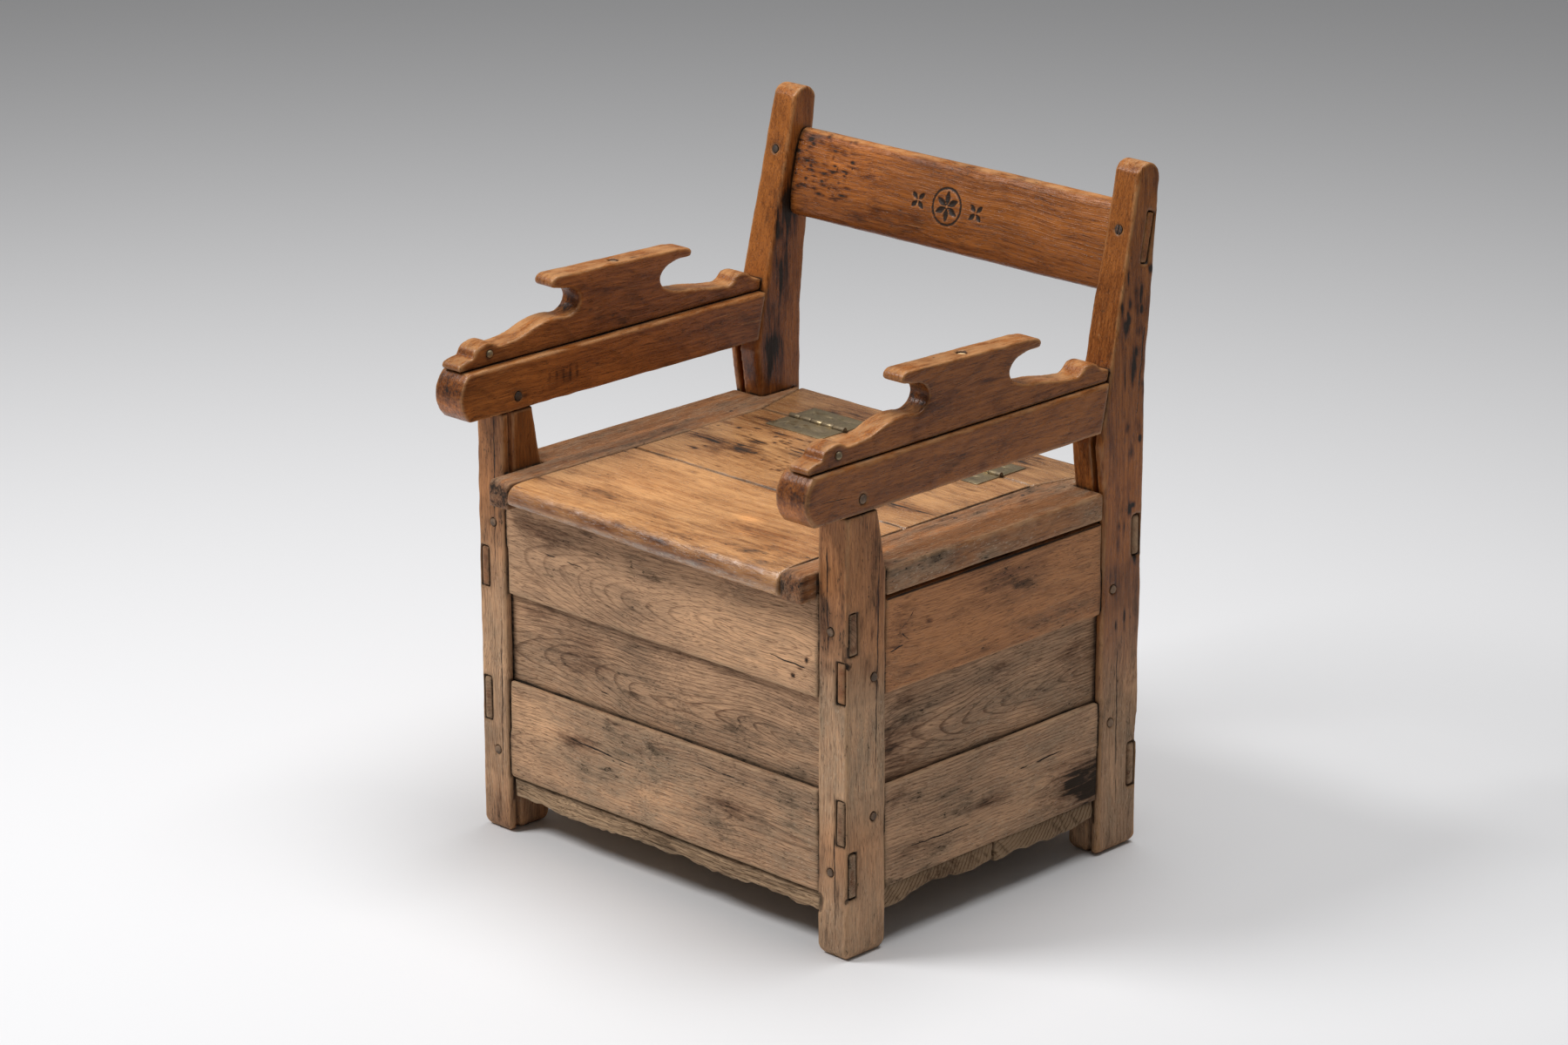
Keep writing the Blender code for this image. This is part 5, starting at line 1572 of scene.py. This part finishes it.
class ARMCHAIR_OT_hinges(PieceOperator, Operator):
    """Dresses the brass hinges and sets their slotted screws, and the brass rivets of the risers"""

    bl_idname = "armchair.hinges"
    bl_label = "Hinges and Rivets"

    SCREW_PITCH = 0.030
    SCREW_FROM_PIN = 0.025
    RIVET_RADIUS = 0.0048
    RIVET_HEIGHT = 0.0026

    def build(self, context):
        brass = brass_material("tarnished brass")
        for name, _ in SIDES:
            for node in (f"hinge_fixed_leaf_{name}", f"hinge_lid_leaf_{name}", f"hinge_pin_{name}"):
                mesh = softened(modified(
                    merged_copy(node), "BEVEL", width=0.0003, segments=2, limit_method="ANGLE",
                    angle_limit=SHARP_ANGLE))
                mesh.materials.clear()
                mesh.materials.append(brass)
                new_piece(f"{node}_dressed", mesh, [node])
        head = slotted_head("hinge_screw", 0.0033, 0.0016)
        for kind, way in (("fixed", 1), ("lid", -1)):
            places = []
            for name, _ in SIDES:
                middle = middle_of(f"hinge_{kind}_leaf_{name}").x
                depth = middle_of(f"hinge_pin_{name}").y + way * self.SCREW_FROM_PIN
                places += [
                    (Vector((middle + column * self.SCREW_PITCH, depth, SEAT_TOP + 0.0001)), UP)
                    for column in (-1, 0, 1)]
            screws = loose_fasteners(
                f"hinge_screws_{kind}", BODY_OF[f"hinge_{kind}_leaf_left"], head.copy(), places, brass)
        places = []
        for name, _ in SIDES:
            middle = middle_of(f"riser_rivet_{name}")
            for corner, way in zip(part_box(f"arm_riser_{name}"), (LEFT, RIGHT)):
                places.append((Vector((corner.x, middle.y, middle.z)), way))
        fastener_piece(
            "riser_rivets", ["riser_rivet_left", "riser_rivet_right"],
            turned_mesh("riser_rivet", self.dome(), 20), places, brass)

    def dome(self):
        """Outline of a rivet's head as (radius, height)."""
        turns = [math.radians(angle) for angle in (25, 50, 70, 90)]
        round_top = [(self.RIVET_RADIUS * math.sin(turn), self.RIVET_HEIGHT * math.cos(turn)) for turn in turns]
        return [(0, self.RIVET_HEIGHT), *round_top, (0.0046, -0.0006), (0, -0.0006)]


class ARMCHAIR_OT_nails(PieceOperator, Operator):
    """Sets the iron nails of the floor boards, battens and bearers"""

    bl_idname = "armchair.nails"
    bl_label = "Nails"

    # Turned outline as (radius, height)
    NAIL = ((0, 0.0006), (0.0022, 0.0004), (0.0029, -0.0002), (0.0014, -0.0008), (0.0012, -0.012), (0, -0.012))

    def build(self, context):
        iron = iron_material("nail iron")
        floor_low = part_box("floor_board_front")[0].z + 0.0022
        batten_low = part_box("lid_batten_left")[0].z - 0.0001
        floor = [
            (Vector(spot(x, depth, floor_low)), DOWN)
            for x in (-0.22, -0.075, 0.075, 0.22) for depth in (0.075, 0.42)]
        bearers = [
            (Vector(spot(sign * 0.236, depth, SEAT_TOP - 0.0003)), UP)
            for _, sign in SIDES for depth in (0.245, 0.36)]
        battens = [
            (Vector(spot(sign * 0.130, depth, batten_low)), DOWN)
            for _, sign in SIDES for depth in (0.075, 0.15, 0.225, 0.32)]
        for name, body, places in (
            ("frame_nails", "chair_frame", floor + bearers), ("batten_nails", "seat_lid", battens),
        ):
            loose_fasteners(name, body, turned_mesh("nail", self.NAIL, 8, 0.14), places, iron, 1.0, 0.12)


class ARMCHAIR_OT_stage(PieceOperator, Operator):
    """Adds the floor, the soft lights and the camera"""

    bl_idname = "armchair.stage"
    bl_label = "Stage"

    FLOOR_REACH = 30.0
    SENSOR_WIDTH = 36.0
    SKY_STRENGTH = 0.14
    LIT_POINT = Vector((0, 0, 0.4))

    def build(self, context):
        stage = context.scene.armchair_stage
        self.add_floor(stage)
        self.add_light("key light", Vector((-1.7, -2.2, 3.5)), 1.6, stage.key_power)
        self.add_light("top light", Vector((0.3, 0.5, 3.6)), 2.4, stage.top_power)
        world = bpy.data.worlds.new("soft sky")
        world.use_nodes = True
        sky = world.node_tree.nodes["Background"]
        sky.inputs["Color"].default_value = (1.0, 1.0, 1.0, 1)
        sky.inputs["Strength"].default_value = self.SKY_STRENGTH
        context.scene.world = world
        context.scene.camera = self.add_camera(stage)
        context.scene.view_settings.view_transform = "Standard"

    def add_floor(self, stage):
        """A wide pale floor."""
        mesh = bpy.data.meshes.new("floor")
        reach = self.FLOOR_REACH
        mesh.from_pydata(
            [(-reach, -reach, 0), (reach, -reach, 0), (reach, reach, 0), (-reach, reach, 0)], [], [(0, 1, 2, 3)])
        floor = new_object("floor", mesh)
        material = bpy.data.materials.new("pale floor")
        material.use_nodes = True
        shader = material.node_tree.nodes["Principled BSDF"]
        shader.inputs["Base Color"].default_value = opaque(stage.floor_colour)
        shader.inputs["Roughness"].default_value = 0.6
        mesh.materials.append(material)

    def add_light(self, name, place, size, power):
        """A round soft light that faces the chair."""
        data = bpy.data.lights.new(name, "AREA")
        data.shape = "DISK"
        data.size = size
        data.energy = power
        lamp = new_object(name, data)
        lamp.location = place
        lamp.rotation_euler = (self.LIT_POINT - place).to_track_quat("-Z", "Y").to_euler()

    def add_camera(self, stage):
        """The camera at the photograph's angle."""
        data = bpy.data.cameras.new("camera")
        data.lens = stage.lens
        data.sensor_width = self.SENSOR_WIDTH
        camera = new_object("camera", data)
        flat = math.cos(stage.elevation)
        back = Vector((
            math.sin(stage.azimuth) * flat, -math.cos(stage.azimuth) * flat, math.sin(stage.elevation)))
        aim = (-back).to_track_quat("-Z", "Y").to_matrix().to_4x4()
        camera.matrix_world = (
            Matrix.Translation(Vector(stage.target) + back * stage.distance) @ aim
            @ Matrix.Rotation(stage.roll, 4, "Z"))
        return camera


PIECE_OPERATORS = (
    ARMCHAIR_OT_effects, ARMCHAIR_OT_front_posts, ARMCHAIR_OT_back_posts, ARMCHAIR_OT_box_sides,
    ARMCHAIR_OT_floor, ARMCHAIR_OT_seat, ARMCHAIR_OT_arms, ARMCHAIR_OT_crest_rail, ARMCHAIR_OT_pegs,
    ARMCHAIR_OT_hinges, ARMCHAIR_OT_nails, ARMCHAIR_OT_stage,
)


class ARMCHAIR_PT_build(Panel):
    """Lists the chair's operators and settings"""

    bl_idname = "ARMCHAIR_PT_build"
    bl_label = "Rustic Box Armchair"
    bl_space_type = "VIEW_3D"
    bl_region_type = "UI"
    bl_category = "Armchair"

    def draw(self, context):
        for operator in PIECE_OPERATORS:
            self.layout.operator(operator.bl_idname)
        for label, kind in SETTINGS:
            box = self.layout.box()
            for setting in kind.__annotations__:
                box.prop(getattr(context.scene, label), setting)


SETTINGS = (
    ("armchair_wear", WearSettings), ("armchair_colours", WoodColours), ("armchair_stage", StageSettings),
)
CLASSES = (*(kind for _, kind in SETTINGS), *PIECE_OPERATORS, ARMCHAIR_PT_build)


def register():
    """Registers the classes and hangs the settings on the scene."""
    for kind in CLASSES:
        bpy.utils.register_class(kind)
    for label, kind in SETTINGS:
        setattr(bpy.types.Scene, label, PointerProperty(type=kind))


def unregister():
    """Takes away what register added."""
    for label, _ in SETTINGS:
        delattr(bpy.types.Scene, label)
    for kind in reversed(CLASSES):
        bpy.utils.unregister_class(kind)


def main():
    """Builds the whole chair and its stage."""
    for leftover in [item for item in bpy.data.objects if item.type in {"LIGHT", "CAMERA"} or item.name == "Cube"]:
        bpy.data.objects.remove(leftover)
    register()
    for operator in PIECE_OPERATORS:
        family, call = operator.bl_idname.split(".")
        getattr(getattr(bpy.ops, family), call)()


if __name__ == "__main__":
    main()
